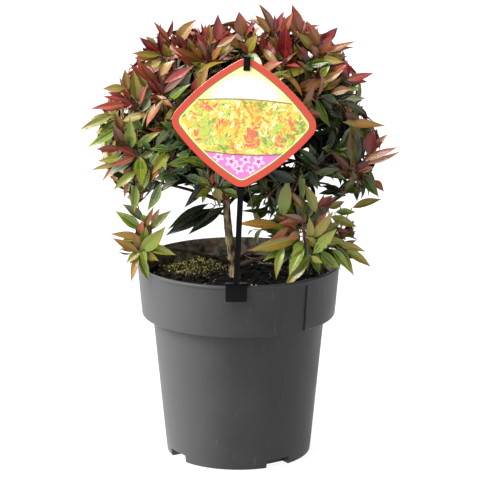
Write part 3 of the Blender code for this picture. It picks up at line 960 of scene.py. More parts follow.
class LeafPattern:
    """The mesh of a pointed leaf with a midrib, an upper and a paler lower side."""

    STATIONS = np.array([0.0, 0.07, 0.17, 0.3, 0.44, 0.58, 0.71, 0.83, 0.93, 1.0])
    UPPER = np.array([-1.0, -0.55, -0.06, 0.06, 0.55, 1.0])
    LOWER = np.array([-1.0, -0.5, 0.0, 0.5, 1.0])
    THICKNESS = 0.4 * MM
    RIB_HALF = 0.34 * MM

    def __init__(self) -> None:
        """Work out the faces that every leaf shares."""
        share = np.clip((self.STATIONS - 0.03) / 0.97, 0.0, 1.0) ** 0.78
        self.outline = np.sin(np.pi * share) ** 1.22
        self.rows = len(self.STATIONS) - 2
        self.faces: Faces = []
        self.parts: list[tuple[str, float, int]] = []
        upper_end = self.sheet("upper", 0, len(self.UPPER), False)
        self.sheet("lower", upper_end, len(self.LOWER), True)
        self.chart = np.concatenate([self.chart_of(self.UPPER), self.chart_of(self.LOWER)])

    def chart_of(self, across: np.ndarray) -> np.ndarray:
        """Return flat coordinates for one sheet's points: across the blade and along it."""
        inner = [(abs(x), t * 8.0 - abs(x) * 1.4) for t in self.STATIONS[1:-1] for x in across]
        return np.array([(0.0, 0.0), *inner, (0.0, 8.0)])

    def sheet(self, side: str, start: int, wide: int, turned: bool) -> int:
        """Add the faces of one side of the leaf.

        Args:
            side: The side's name.
            start: The place of its first point.
            wide: How many points it has across.
            turned: Whether its faces look the other way.

        Returns:
            The place after its last point.
        """
        last = start + 1 + self.rows * wide
        for row in range(self.rows + 1):
            share = (self.STATIONS[row] + self.STATIONS[row + 1]) / 2
            low = start + 1 + (row - 1) * wide
            high = low + wide
            for column in range(wide - 1):
                if row == 0:
                    face = (start, high + column + 1, high + column)
                elif row == self.rows:
                    face = (low + column, low + column + 1, last)
                else:
                    face = (low + column, low + column + 1, high + column + 1, high + column)
                self.faces.append(tuple(reversed(face)) if turned else face)
                self.parts.append((side, float(share), column))
        return last + 1

    def points(self, root: Vector, way: Vector, upper: Vector, blade: Blade) -> np.ndarray:
        """Set out one leaf's points.

        Args:
            root: Where the leaf joins its twig.
            way: The direction in which it leaves the twig.
            upper: The direction that its upper side faces.
            blade: The leaf's form.

        Returns:
            The points of both sides, in the order of the shared faces.
        """
        d = np.array(way)
        side = np.cross(d, np.array(upper))
        side /= np.linalg.norm(side)
        u = np.cross(side, d)
        t = self.STATIONS
        bend = -blade.curl * t**1.3
        steps = np.diff(t)
        middle_bend = (bend[1:] + bend[:-1]) / 2
        ahead = np.cos(middle_bend)[:, None] * d + np.sin(middle_bend)[:, None] * u
        swing = blade.sickle * ((t[1:] + t[:-1]) / 2 - 0.5)
        ahead = np.cos(swing)[:, None] * ahead + np.sin(swing)[:, None] * side
        line = np.concatenate([[np.zeros(3)], np.cumsum(ahead * steps[:, None], axis=0)])
        line = np.array(root) + line * blade.length
        normal = -np.sin(bend)[:, None] * d + np.cos(bend)[:, None] * u
        roll = blade.twist * t
        across = np.cos(roll)[:, None] * side + np.sin(roll)[:, None] * normal
        normal = np.cos(roll)[:, None] * normal - np.sin(roll)[:, None] * side
        half = self.outline * blade.width / 2
        return np.concatenate([
            self.side(line, across, normal, half, self.UPPER, blade, 0.0),
            self.side(line, across, normal, half, self.LOWER, blade, 1.0),
        ])

    def margin(self, points: np.ndarray) -> list[Vector]:
        """Return the outline of a leaf's upper side, in order.

        Args:
            points: The leaf's points.

        Returns:
            The outline's points.
        """
        wide = len(self.UPPER)
        rows = [1 + row * wide for row in range(self.rows)]
        left = [Vector(points[row]) for row in rows]
        right = [Vector(points[row + wide - 1]) for row in rows]
        return [Vector(points[0]), *left, Vector(points[1 + self.rows * wide]), *reversed(right)]

    def side(
        self,
        line: np.ndarray,
        across: np.ndarray,
        normal: np.ndarray,
        half: np.ndarray,
        columns: np.ndarray,
        blade: Blade,
        below: float,
    ) -> np.ndarray:
        """Set out the points of one side of a leaf.

        Args:
            line: The points of its midrib.
            across: The sideways direction at each of them.
            normal: The upward direction at each of them.
            half: Half the leaf's width at each of them.
            columns: The places across the blade, from -1 to 1.
            blade: The leaf's form.
            below: 1 for the lower side and 0 for the upper.

        Returns:
            The side's points.
        """
        inner = slice(1, -1)
        t = self.STATIONS[inner, None]
        x = np.abs(columns)[None, :]
        wide = half[inner, None]
        offset = columns[None, :] * wide
        if not below:
            rib = np.minimum(self.RIB_HALF * (1.1 - 0.7 * t), wide * 0.5)
            offset = np.where(x < 0.1, np.sign(columns)[None, :] * rib, offset)
        fold = blade.fold * (1.0 - 0.35 * t)
        swell = 0.16 * (x - x**2) * wide
        ripple = blade.wave * blade.width * x**2 * np.sin(9.0 * t + blade.phase + columns[None, :])
        ripple = ripple * np.minimum(1.0, wide * 4 / blade.width)
        body = (1 - x**2) * (0.35 + half[inner, None] / blade.width) + 0.3 * (x < 0.1)
        thick = below * self.THICKNESS * body
        rise = np.abs(offset) * np.sin(fold) + swell + ripple - thick
        spread = offset * np.cos(fold)
        grid = line[inner, None, :] + across[inner, None, :] * spread[..., None]
        grid = grid + normal[inner, None, :] * rise[..., None]
        return np.concatenate([line[:1], grid.reshape(-1, 3), line[-1:]])


@dataclass(frozen=True)
class Tint:
    """A leaf's place on the ramp from green to crimson, the blush of its tip, and whether it takes the
    darkened copy of its colours as painted shade.
    """

    young: float
    blush: float
    dim: bool = False


class Palette:
    """The plain colours of the leaves, from deep green to crimson, with their undersides and ribs, two
    colours of painted sheen, and darkened copies of all for painted shade.
    """

    BLADE = (
        (14, 25, 13),
        (26, 42, 17),
        (52, 76, 22),
        (82, 104, 26),
        (114, 129, 31),
        (130, 119, 34),
        (136, 106, 38),
        (138, 88, 40),
        (136, 70, 40),
        (146, 52, 42),
        (138, 34, 36),
        (104, 20, 25),
        # Painted sheen: the last two are pale pink-grey and grey-green, for leaves whose gloss catches the
        # light.
        (118, 78, 66),
        (84, 94, 66),
    )
    PAINTED_SHEEN_PLACE = 12
    UNDER = ((36, 50, 28), (66, 80, 36), (98, 92, 44), (104, 64, 38), (94, 38, 34))
    RIB = ((64, 84, 40), (140, 146, 66), (158, 112, 62), (152, 66, 54))
    GROUPS = (("blade", BLADE, 0.22, 0.66), ("under", UNDER, 0.55, 0.2), ("rib", RIB, 0.34, 0.4))
    # Painted shade: the darkened copies of the leaf colours keep this share of their brightness and gloss.
    PAINTED_SHADE_SHARE = 0.62
    OUTER_COLUMNS = (0, 4)
    RIB_COLUMN = 2

    def materials(self) -> list[bpy.types.Material]:
        """Return all leaf materials: blades, undersides and ribs, then the same again darkened, as painted
        shade.

        Returns:
            The materials, in the order in which place() counts them.
        """
        made = []
        for ending, share in (("", 1.0), ("_dim", self.PAINTED_SHADE_SHARE)):
            for group, colours, roughness, gloss in self.GROUPS:
                for number, colour in enumerate(colours):
                    tone = linear(*(round(channel * share) for channel in colour))
                    name = f"leaf_{group}_{number:02d}{ending}"
                    made.append(LeafFinish(name, tone, roughness, gloss * share).material())
        return made

    def place(self, side: str, share: float, column: int, tint: Tint) -> int:
        """Choose the colour of one face of a leaf.

        Args:
            side: Upper or lower.
            share: How far along the leaf the face lies.
            column: Which face it is across the leaf.
            tint: The leaf's tint.

        Returns:
            The material's place among those of the leaves.
        """
        # Leaves with painted shade take the darkened copies, which come after the lit ones.
        first = sum(len(colours) for _, colours, _, _ in self.GROUPS) if tint.dim else 0
        # Painted sheen: from this place on, the upper face takes a pale sheen colour; the lower face and
        # the rib take a place in the middle of the ramp.
        painted_sheen = tint.young >= self.PAINTED_SHEEN_PLACE
        if painted_sheen and side == "upper" and column != self.RIB_COLUMN:
            return first + round(tint.young)
        top = self.PAINTED_SHEEN_PLACE - 1.0
        spot = (self.PAINTED_SHEEN_PLACE - 5.0 if painted_sheen else tint.young) + tint.blush * 1.5 * (share - 0.35)
        if side == "upper" and column in self.OUTER_COLUMNS:
            spot += 0.9 * tint.blush
        spot = max(0.0, min(spot, top))
        if side == "lower":
            return first + len(self.BLADE) + round(spot / top * (len(self.UNDER) - 1))
        if column == self.RIB_COLUMN:
            return first + len(self.BLADE) + len(self.UNDER) + round(spot / top * (len(self.RIB) - 1))
        return first + round(spot)


@dataclass(frozen=True)
class Spray:
    """A shoot that the photo shows leaf by leaf: its mass, its end, its depth and its leaves."""

    mass: str
    top: tuple[float, float]
    depth: float
    leaves: tuple[tuple[float, ...], ...]
    blush: float = 0.8
    through: tuple[float, float] | None = None


# Places are in the photo's pixels and depths in mm along Y. A leaf is its root, its tip, its width,
# its place on the colour ramp, and how far its tip leans towards the front for its length.
# Places 12 and 13 on the colour ramp are painted sheen, for leaves whose gloss catches the light.
SPRAYS = (
    Spray("high_left_front", (163, 56), -43, (
        (170, 43, 153, 21, 6, 8.2, 0.2), (166, 40, 173, 19, 4.5, 10.2, 0.1),
        (160, 52, 161, 22, 4, 9, -0.1), (161, 54, 157, 33, 9, 10.6, 0.35),
        (158, 51, 139, 37, 8, 10.2, 0.3), (161, 55, 131, 53, 7, 5.2, 0.3),
        (158, 58, 133, 58, 5, 6.2, 0.2), (157, 46, 145, 36, 5, 5, 0), (171, 57, 163, 43, 8, 5.2, 0.4),
        (162, 62, 141, 65, 7, 5.4, 0.3),
    )),
    Spray("high_left_front", (186, 52), -51, (
        (177, 44, 197, 19, 12, 5.8, 0.15), (184, 51, 176, 33, 8, 10.6, 0.4),
        (176, 48, 169, 34, 3.5, 10, 0.2), (202, 62, 171, 46, 9, 7, 0.45),
        (192, 55, 187, 37, 8, 5.2, 0.3), (188, 52, 203, 36, 5, 9.2, 0.2), (189, 58, 202, 70, 8, 4, 0.2),
    )),
    Spray("high_left_front", (207, 56), -58, (
        (207, 52, 193, 30, 7, 9.3, 0.2), (206, 57, 197, 37, 5, 12, 0.3),
        (217, 42, 218, 14, 11, 9.2, 0.1), (211, 42, 209, 23, 6, 6, -0.2),
        (204, 38, 201, 22, 3, 10.2, 0), (206, 38, 205, 23, 3, 9.8, 0.1),
        (208, 45, 229, 31, 5, 9.2, 0.2), (206, 61, 204, 48, 7, 10.4, 0.5),
        (216, 47, 238, 33, 6, 7, 0.2), (220, 56, 232, 41, 6, 4.6, 0.2), (203, 60, 190, 47, 7, 6.2, 0.3),
        (212, 60, 222, 47, 8, 6.6, 0.4),
    )),
    Spray("high_right_front", (247, 44), -49, (
        (243, 36, 239, 11, 12, 7.4, 0.1), (242, 36, 228, 25, 4, 10.2, 0.2),
        (246, 36, 258, 20, 5, 10.3, 0.2), (270, 33, 255, 15, 8, 6.2, 0.1),
        (247, 53, 258, 34, 11, 4.9, 0.4), (248, 54, 240, 41, 5, 8.2, 0.4),
        (262, 52, 262, 31, 7, 9.4, 0.4), (240, 44, 228, 42, 6, 6.4, 0.2),
    )),
    Spray("high_right_front", (276, 42), -47, (
        (273, 32, 258, 3, 8, 12, 0.1), (275, 32, 274, 14, 4, 10.4, 0.1),
        (277, 33, 284, 11, 7, 9.6, 0.1), (281, 37, 293, 12, 9, 7.4, 0.2),
        (284, 60, 286, 23, 14, 10.6, 0.45), (262, 47, 283, 70, 7, 5.8, 0.4),
        (268, 42, 276, 62, 7, 9.2, 0.4), (280, 50, 268, 36, 7, 6.2, 0.4),
    )),
    Spray("top_right", (300, 40), -42, (
        (300, 34, 292, 4, 11, 8, 0.05), (301, 36, 305, 20, 7, 7.8, -0.2),
        (303, 31, 320, 25, 4, 9.4, 0.1), (313, 52, 295, 31, 8, 5, 0.4), (308, 58, 297, 46, 7, 9.6, 0.4),
        (301, 60, 296, 43, 7, 5, 0.5), (292, 66, 297, 56, 6, 9, 0.5),
    )),
    Spray("high_right", (320, 52), -41, (
        (320, 46, 306, 20, 9, 7.2, 0.2), (322, 41, 338, 27, 9, 10, 0.1),
        (321, 40, 327, 32, 4, 10.4, 0.2), (320, 54, 333, 37, 8, 8, 0.3),
        (324, 53, 356, 41, 7, 7.2, 0.1), (324, 57, 355, 47, 6, 6, 0.1), (328, 50, 342, 59, 6, 4.4, 0.3),
        (319, 59, 345, 62, 7, 4.9, 0.3), (336, 61, 346, 54, 5, 5.8, 0.2), (309, 66, 331, 62, 8, 2, 0.4),
        (318, 56, 311, 45, 8, 7, 0.5), (316, 62, 303, 70, 9, 2.2, 0.4),
    )),
    Spray("high_right", (339, 78), -46, (
        (348, 75, 346, 60, 10, 9.8, 0.2), (332, 75, 347, 64, 7, 8.2, 0.3),
        (346, 80, 374, 73, 7, 8.6, 0.1), (346, 78, 368, 82, 6, 8.2, 0.1), (322, 83, 344, 69, 7, 6, 0.3),
        (325, 90, 342, 77, 6, 5.6, 0.3), (331, 94, 353, 89, 8, 6.4, 0.2), (336, 96, 361, 87, 7, 2.3, 0),
        (320, 76, 330, 66, 8, 3, 0.3), (318, 90, 303, 86, 4, 7.4, 0.3),
    )),
    Spray("high_right", (340, 104), -57, (
        (345, 99, 366, 98, 6, 13, 0.1), (346, 103, 366, 115, 7, 13, 0.1),
        (345, 112, 359, 120, 7, 12, 0.2), (342, 122, 386, 126, 8, 5.8, 0),
        (316, 97, 331, 128, 9, 2.8, 0.3), (321, 96, 340, 105, 8, 1.2, 0.3),
        (342, 106, 352, 98, 7, 2.4, 0.2), (330, 108, 343, 118, 8, 1, 0.3),
        (332, 112, 322, 100, 7, 13, 0.3),
    )),
    Spray("mid_right", (357, 168), -64, (
        (370, 155, 374, 128, 14, 9.2, 0.1), (371, 152, 388, 134, 7, 7.2, 0),
        (364, 161, 398, 147, 7, 7.4, 0.1), (364, 164, 401, 151, 5, 7, 0.1),
        (352, 163, 350, 130, 9, 5.4, 0.35), (356, 164, 356, 128, 8, 13, 0.35),
        (361, 152, 363, 130, 5, 2.2, 0.1), (352, 170, 329, 148, 6, 7.6, 0.4),
        (356, 170, 371, 160, 6, 10.2, 0.4), (358, 172, 374, 167, 6, 8.2, 0.3),
        (352, 184, 353, 170, 8, 5.8, 0.5), (363, 172, 379, 197, 10, 2.4, 0.1),
        (372, 180, 384, 192, 7, 7, 0), (348, 172, 340, 158, 7, 8.6, 0.4),
        (350, 178, 338, 172, 7, 6.6, 0.4),
    ), 0.6),
    Spray("low_right", (346, 192), -64, (
        (344, 190, 362, 192, 8, 3.2, 0.1), (343, 193, 320, 186, 7, 1, 0.1),
        (340, 192, 318, 194, 6, 0.8, 0), (346, 190, 356, 181, 6, 3.4, 0.2),
    ), 0.9),
    Spray("mid_right_front", (318, 168), -76, (
        (318, 172, 296, 155, 7, 2, 0.3), (318, 166, 297, 147, 9, 1.6, 0.4),
        (314, 164, 309, 143, 9, 2, 0.4), (312, 166, 302, 152, 8, 1.4, 0.4),
        (320, 170, 346, 180, 10, 2.2, 0.4), (316, 174, 340, 169, 7, 2.8, 0.3),
        (312, 170, 318, 190, 8, 1.4, 0.3), (322, 172, 300, 178, 8, 1.2, 0.2),
    )),
    Spray("mid_left_front", (160, 86), -63, (
        (151, 83, 131, 65, 7, 8.2, 0.2), (157, 83, 138, 60, 7, 8, 0.3), (148, 88, 137, 72, 8, 5.2, 0.3),
        (161, 86, 158, 70, 4, 10.4, 0.3), (158, 92, 146, 80, 7, 10, 0.5),
        (163, 95, 153, 80, 7, 10.7, 0.5), (163, 83, 194, 65, 8, 9.4, 0.3),
        (162, 94, 186, 76, 6, 12, 0.4), (160, 76, 175, 60, 9, 5.8, 0.2),
        (167, 101, 191, 84, 9, 2.9, 0.3), (180, 90, 192, 72, 8, 13, 0.2),
        (156, 95, 174, 108, 6, 6.4, 0.4), (140, 106, 148, 84, 5, 8.4, 0.3),
        (149, 98, 142, 112, 8, 13, 0.4), (151, 66, 161, 61, 7, 5, 0.2),
    )),
    Spray("mid_left", (131, 104), -53, (
        (129, 104, 90, 109, 8, 8.4, 0.15), (125, 100, 103, 96, 5, 9.2, 0.1),
        (126, 98, 107, 92, 5, 9.6, 0), (126, 88, 102, 89, 8, 5.2, 0.1), (128, 90, 125, 69, 8, 5.9, 0.1),
        (137, 99, 133, 69, 10, 5, 0.2), (131, 101, 121, 90, 6, 8.4, 0.3), (130, 98, 119, 76, 4, 8, 0),
        (124, 105, 103, 112, 4, 9, 0), (132, 106, 118, 98, 6, 9.8, 0.35),
    ), 0.7, (171, 133)),
    Spray("mid_left", (122, 128), -60, (
        (113, 115, 79, 130, 8, 4.2, 0.1), (114, 119, 82, 132, 6, 3.8, 0.05),
        (119, 128, 87, 148, 9, 3, 0.2), (116, 116, 88, 119, 7, 4.4, 0),
        (121, 132, 114, 112, 8, 6.4, 0.3), (122, 121, 151, 113, 8, 5, 0.2),
        (123, 144, 113, 124, 9, 12, 0.4), (130, 150, 130, 117, 12, 3.4, 0.45),
        (137, 148, 160, 132, 9, 3.2, 0.3), (122, 144, 105, 134, 5, 8, 0.2),
        (121, 148, 96, 149, 7, 7.6, 0.2), (171, 136, 147, 128, 6, 7.2, 0.3),
        (108, 113, 100, 107, 4, 7.6, 0), (141, 132, 134, 116, 8, 2.6, 0.2),
    ), 1.1, (150, 134)),
    Spray("low_left", (137, 158), -72, (
        (136, 156, 112, 146, 4.5, 9, 0.3), (136, 156, 110, 166, 5.5, 8.2, 0.3),
        (122, 157, 97, 161, 6, 4.2, 0.1), (121, 162, 91, 170, 5, 4.6, 0.1),
        (119, 165, 102, 181, 6, 6.6, 0.1), (134, 160, 107, 176, 9, 13, 0.2),
        (137, 170, 113, 190, 8, 3.8, 0.2), (140, 156, 141, 186, 12, 3.4, 0.35),
        (150, 170, 144, 189, 9, 2.8, 0.2), (136, 184, 134, 213, 9, 2.9, 0.1),
        (128, 178, 124, 198, 4, 7, 0.1), (141, 158, 157, 148, 7, 2.2, 0.2),
    ), 1.0, (160, 150)),
    Spray("low_left", (168, 166), -78, (
        (161, 182, 147, 211, 9, 2.2, 0.1), (160, 192, 179, 180, 6, 13, 0),
        (171, 151, 150, 149, 8, 2, 0.2), (180, 141, 161, 150, 8, 1.4, 0.2),
        (191, 160, 167, 165, 9, 2.3, 0.3), (206, 166, 180, 158, 9, 2.4, 0.3),
        (176, 175, 154, 180, 8, 1.2, 0.2), (150, 166, 160, 151, 7, 2, 0.2),
        (185, 176, 206, 183, 8, 1.3, 0.2), (172, 172, 190, 170, 7, 0.8, 0.1),
        (150, 152, 141, 140, 7, 1.6, 0.2),
    )),
    Spray("mid_front", (185, 140), -81, (
        (188, 146, 172, 130, 7, 1.2, 0.2), (186, 142, 170, 146, 7, 1, 0.2),
        (190, 152, 176, 156, 7, 2, 0.3), (180, 128, 160, 122, 7, 1.4, 0.2),
    )),
    Spray("low_front", (212, 185), -42, (
        (211, 186, 190, 176, 9, 4, 0.3), (213, 188, 195, 198, 8, 3.9, 0.3),
        (212, 184, 213, 172, 5, 9, 0.5), (218, 184, 217, 168, 8, 3, 0.2),
        (215, 188, 222, 200, 9, 4.5, 0.3), (222, 190, 242, 198, 8, 3, 0.2),
        (206, 191, 202, 204, 4, 2.9, 0.1), (217, 194, 220, 208, 4, 13, 0.1),
        (210, 180, 196, 168, 7, 2.4, 0.2), (222, 186, 236, 182, 7, 2.4, 0.2),
    ), 0.9),
    Spray("hanging_left", (216, 205), -8, (
        (208, 180, 184, 208, 9, 0.9, 0.2), (210, 203, 167, 230, 10, 0.7, 0.25),
        (212, 208, 165, 236, 13, 0.4, 0.2), (226, 206, 188, 235, 11, 1, 0.15),
    ), 0.1),
    Spray("foot_left", (140, 250), -52, (
        (140, 252, 166, 226, 13, 3.8, 0.3), (142, 230, 115, 211, 11, 3.2, 0.1),
        (143, 238, 110, 234, 7, 5.7, 0.1), (142, 249, 151, 232, 9, 4.6, 0.4),
        (141, 249, 132, 232, 8, 6.2, 0.4), (142, 246, 147, 264, 7, 3.6, 0.3),
        (141, 251, 126, 264, 7, 4.4, 0.3), (140, 238, 122, 240, 7, 3.2, 0.2),
        (139, 253, 112, 238, 8, 5.9, 0.2), (139, 245, 125, 246, 7, 2.8, 0.1),
        (138, 254, 131, 282, 7, 6, 0.15), (139, 255, 149, 281, 9, 3.3, 0.1),
        (141, 250, 159, 261, 8, 4.8, 0.25), (146, 246, 176, 255, 10, 4, 0.2),
        (143, 230, 154, 206, 6, 6.4, 0.1), (151, 224, 160, 208, 5, 6, 0),
        (148, 231, 172, 210, 8, 4, 0.05), (144, 222, 122, 204, 10, 13, -0.1),
        (141, 236, 143, 220, 7, 8, 0.3), (147, 236, 149, 222, 6, 5.6, 0.2),
        (148, 222, 142, 214, 7, 3, 0), (143, 243, 146, 226, 9, 4, 0.2), (142, 244, 134, 222, 8, 3.4, 0),
    ), 0.6),
    Spray("foot_right", (303, 232), -62, (
        (283, 218, 289, 176, 12, 3.8, 0.1), (303, 200, 300, 166, 7, 3, 0),
        (316, 213, 304, 183, 10, 4.4, 0.15), (301, 207, 288, 190, 6, 6.4, 0.15),
        (303, 213, 292, 191, 9, 4.2, 0.15), (306, 222, 282, 214, 7, 12, 0.3),
        (282, 226, 235, 224, 10, 5.8, 0.2), (302, 222, 278, 224, 8, 7.2, 0.3),
        (290, 226, 270, 241, 6, 7.4, 0.3), (300, 238, 248, 251, 11, 5, 0.25),
        (309, 240, 309, 216, 8, 4.4, 0.4), (313, 254, 337, 229, 11, 3.6, 0.35),
        (312, 238, 334, 210, 9, 4.8, 0.3), (314, 228, 328, 211, 6, 7.4, 0.3),
        (304, 244, 289, 276, 13, 3.5, 0.2), (285, 244, 276, 280, 8, 3.8, 0.15),
        (311, 254, 284, 289, 11, 4.2, 0.1), (311, 256, 323, 263, 6, 4, 0.3),
        (300, 232, 286, 240, 8, 6.4, 0.4), (303, 240, 292, 256, 8, 3.6, 0.3),
        (296, 230, 276, 216, 8, 8, 0.3), (316, 246, 306, 236, 8, 4.6, 0.45),
    ), 0.7),
    Spray("foot_right", (301, 226), -38, (
        (302, 222, 276, 204, 9, 4, 0.1), (298, 216, 283, 196, 8, 5, 0.1),
        (305, 216, 301, 196, 9, 3.4, 0.1), (306, 224, 296, 207, 8, 5.6, 0.2),
        (296, 226, 268, 226, 8, 3.6, 0.2), (304, 222, 318, 196, 10, 3.2, 0.2),
        (298, 226, 272, 214, 10, 3, 0.1), (310, 226, 326, 216, 9, 3.4, 0.2),
        (314, 236, 342, 236, 9, 3, 0.2), (296, 232, 258, 230, 9, 2.6, 0.1),
        (298, 246, 262, 262, 9, 3.2, 0.2), (310, 248, 320, 276, 9, 3, 0.2),
        (300, 216, 296, 196, 9, 2.8, 0.2), (300, 250, 296, 280, 8, 2.6, 0.2),
        (300, 232, 272, 206, 9, 1.6, 0.1), (306, 228, 332, 203, 9, 1.8, 0.1),
        (300, 236, 266, 236, 9, 1.4, 0.1), (308, 238, 338, 250, 9, 2.2, 0.1),
        (300, 240, 282, 264, 9, 1.6, 0.2), (306, 242, 308, 272, 9, 1.8, 0.2),
        (312, 224, 324, 194, 9, 2.2, 0.1), (299, 218, 301, 188, 9, 1.6, 0.1),
        (292, 222, 262, 222, 8, 1.2, 0.1), (316, 232, 347, 230, 8, 2, 0.1),
        (296, 244, 264, 252, 8, 1.6, 0.2), (316, 246, 334, 266, 8, 2.4, 0.2),
        (304, 226, 290, 200, 8, 1.2, 0.2), (312, 230, 314, 206, 8, 1.6, 0.2),
    ), 0.4),
    Spray("foot_right_rim", (335, 238), -46, (
        (352, 208, 382, 199, 9, 5, 0.1), (320, 250, 341, 269, 10, 3, 0.2),
        (331, 248, 350, 271, 9, 3.4, 0.2), (336, 245, 354, 276, 9, 3.4, 0.15),
        (336, 243, 366, 252, 7, 4.6, 0.1), (345, 250, 371, 267, 9, 4.4, 0.1),
        (340, 246, 357, 240, 5, 7.8, 0.1), (330, 216, 357, 227, 9, 4.4, 0.1),
        (335, 212, 356, 212, 7, 3.3, 0), (336, 231, 351, 233, 6, 7.8, 0.1),
        (328, 208, 345, 201, 7, 5.4, 0.1), (322, 232, 342, 222, 9, 4.2, 0.3),
        (322, 240, 345, 240, 8, 3.8, 0.3), (318, 206, 333, 195, 8, 9.2, 0.1),
        (314, 214, 341, 193, 6, 12, 0.15), (330, 236, 320, 222, 8, 6, 0.3),
    ), 0.8),
    Spray("low_right_front", (268, 196), -40, (
        (275, 213, 240, 211, 6, 2, 0.1), (264, 190, 281, 185, 8, 3, 0.1),
        (263, 196, 246, 207, 11, 2.8, 0.2), (264, 190, 247, 190, 8, 2.4, 0.2),
        (270, 196, 276, 212, 8, 1.4, 0.1), (268, 206, 254, 220, 8, 1.8, 0.1),
    ), 0.5),
)

# Where the photo shows the crown and the low shoots, and where it shows the background through them.
OUTLINES = (
    (
        (117, 188), (108, 174), (102, 160), (97, 146), (95, 132), (100, 116), (104, 104), (112, 91),
        (122, 78), (129, 62), (138, 47), (150, 37), (165, 30), (185, 26), (200, 27), (215, 23),
        (232, 21), (248, 19), (262, 17), (280, 15), (300, 15), (315, 24), (330, 33), (343, 46),
        (350, 60), (358, 71), (362, 84), (362, 98), (367, 112), (374, 122), (380, 134), (382, 148),
        (378, 160), (374, 172), (380, 190), (370, 203), (352, 207), (340, 214), (300, 222), (252, 216),
        (222, 198), (205, 193), (185, 188), (150, 192), (140, 206), (128, 204),
    ),
    ((116, 214), (124, 208), (150, 207), (166, 224), (172, 252), (148, 274), (130, 276), (116, 250)),
    (
        (242, 222), (285, 180), (318, 188), (345, 202), (355, 216), (362, 258), (350, 270), (300, 282),
        (252, 250),
    ),
)
GAPS = (
    (
        (152, 192), (176, 186), (190, 190), (202, 202), (221, 206), (222, 236), (176, 240), (164, 226),
        (152, 212),
    ),
    ((100, 184), (118, 194), (131, 205), (118, 210), (100, 212)),
    ((318, 185), (322, 178), (330, 177), (336, 184), (334, 188)),
    ((301, 150), (308, 148), (314, 155), (310, 159), (303, 156)),
    ((282, 168), (288, 154), (294, 158), (287, 166)),
    ((340, 200), (350, 197), (356, 200), (350, 206), (341, 204)),
    ((148, 146), (151, 142), (154, 145), (151, 148)),
    ((177, 156), (181, 152), (184, 156), (180, 159)),
    ((178, 168), (184, 166), (188, 170), (181, 173)),
    ((191, 170), (195, 168), (198, 172), (194, 174)),
    ((154, 178), (160, 174), (162, 180), (156, 182)),
    ((256, 30), (260, 25), (263, 32), (259, 36)),
    ((309, 36), (311, 33), (313, 38), (310, 40)),
    ((360, 206), (400, 204), (400, 216), (360, 216)),
)


class FrontView:
    """The photo's view: from a pixel to a point and back, and what new leaves may not cover."""

    SIZE = 480

    def __init__(self, studio: "Studio") -> None:
        """Take the camera's place and mark the pixels that stay clear.

        Args:
            studio: The studio, which holds the camera's place and lens.
        """
        self.eye = Vector(studio.camera_place)
        self.ahead = Vector((0.0, math.cos(studio.pitch), -math.sin(studio.pitch)))
        self.rise = Vector((0.0, math.sin(studio.pitch), math.cos(studio.pitch)))
        self.scale = studio.focal / studio.sensor * self.SIZE
        self.clear = ~np.any([self.inside(outline) for outline in OUTLINES], axis=0)
        self.clear |= np.any([self.inside(gap) for gap in GAPS], axis=0)
        self.cover = np.full((self.SIZE, self.SIZE), -np.inf)

    def inside(self, outline: Sequence[tuple[float, float]]) -> np.ndarray:
        """Return which pixels lie inside a closed outline, by row and column.

        Args:
            outline: Its corners, as pixels.

        Returns:
            A grid of the picture's size, true inside the outline.
        """
        row, column = np.mgrid[0 : self.SIZE, 0 : self.SIZE] + 0.5
        within = np.zeros(row.shape, dtype=bool)
        for (x0, y0), (x1, y1) in zip(outline, [*outline[1:], outline[0]]):
            if y0 != y1:
                crossed = (row < y0) != (row < y1)
                within ^= crossed & (column < x0 + (row - y0) * (x1 - x0) / (y1 - y0))
        return within

    def point(self, x: float, y: float, depth: float) -> Vector:
        """Return the point that a pixel shows at a depth along Y.

        Args:
            x: The pixel's place from the left.
            y: The pixel's place from the top.
            depth: The point's Y.

        Returns:
            The point in space.
        """
        half = self.SIZE / 2
        aside = Vector(((x - half) / self.scale, 0.0, 0.0))
        ray = self.ahead + aside + self.rise * ((half - y) / self.scale)
        return self.eye + ray * ((depth - self.eye.y) / ray.y)

    def pixel(self, point: Vector) -> tuple[float, float]:
        """Return the pixel that shows a point.

        Args:
            point: The point in space.

        Returns:
            The pixel's place from the left and from the top.
        """
        away = point - self.eye
        span = away.dot(self.ahead)
        half = self.SIZE / 2
        return half + self.scale * away.x / span, half - self.scale * away.dot(self.rise) / span

    def keep_shown(self, outline: Sequence[Vector]) -> None:
        """Mark the pixels of a leaf that later leaves may not stand in front of.

        Args:
            outline: The leaf's outline in space.
        """
        depth = sum(point.y for point in outline) / len(outline)
        spots = self.inside([self.pixel(point) for point in outline])
        self.cover[spots] = np.maximum(self.cover[spots], depth)

    def in_sky(self, spot: Vector) -> bool:
        """Tell whether a point shows where the photo has background.

        Args:
            spot: The point in space.

        Returns:
            Whether it shows there, or outside the picture.
        """
        x, y = self.pixel(spot)
        row, column = int(y), int(x)
        return not (0 <= row < self.SIZE and 0 <= column < self.SIZE) or bool(self.clear[row, column])

    def hides(self, spots: Sequence[Vector]) -> bool:
        """Tell whether a leaf covers a gap, or hides a leaf that is to show.

        Args:
            spots: The points that stand for the leaf.

        Returns:
            Whether it is in the way.
        """
        covering = 0
        for spot in spots:
            if self.in_sky(spot):
                return True
            x, y = self.pixel(spot)
            covering += spot.y < self.cover[int(y), int(x)]
        return covering > 1


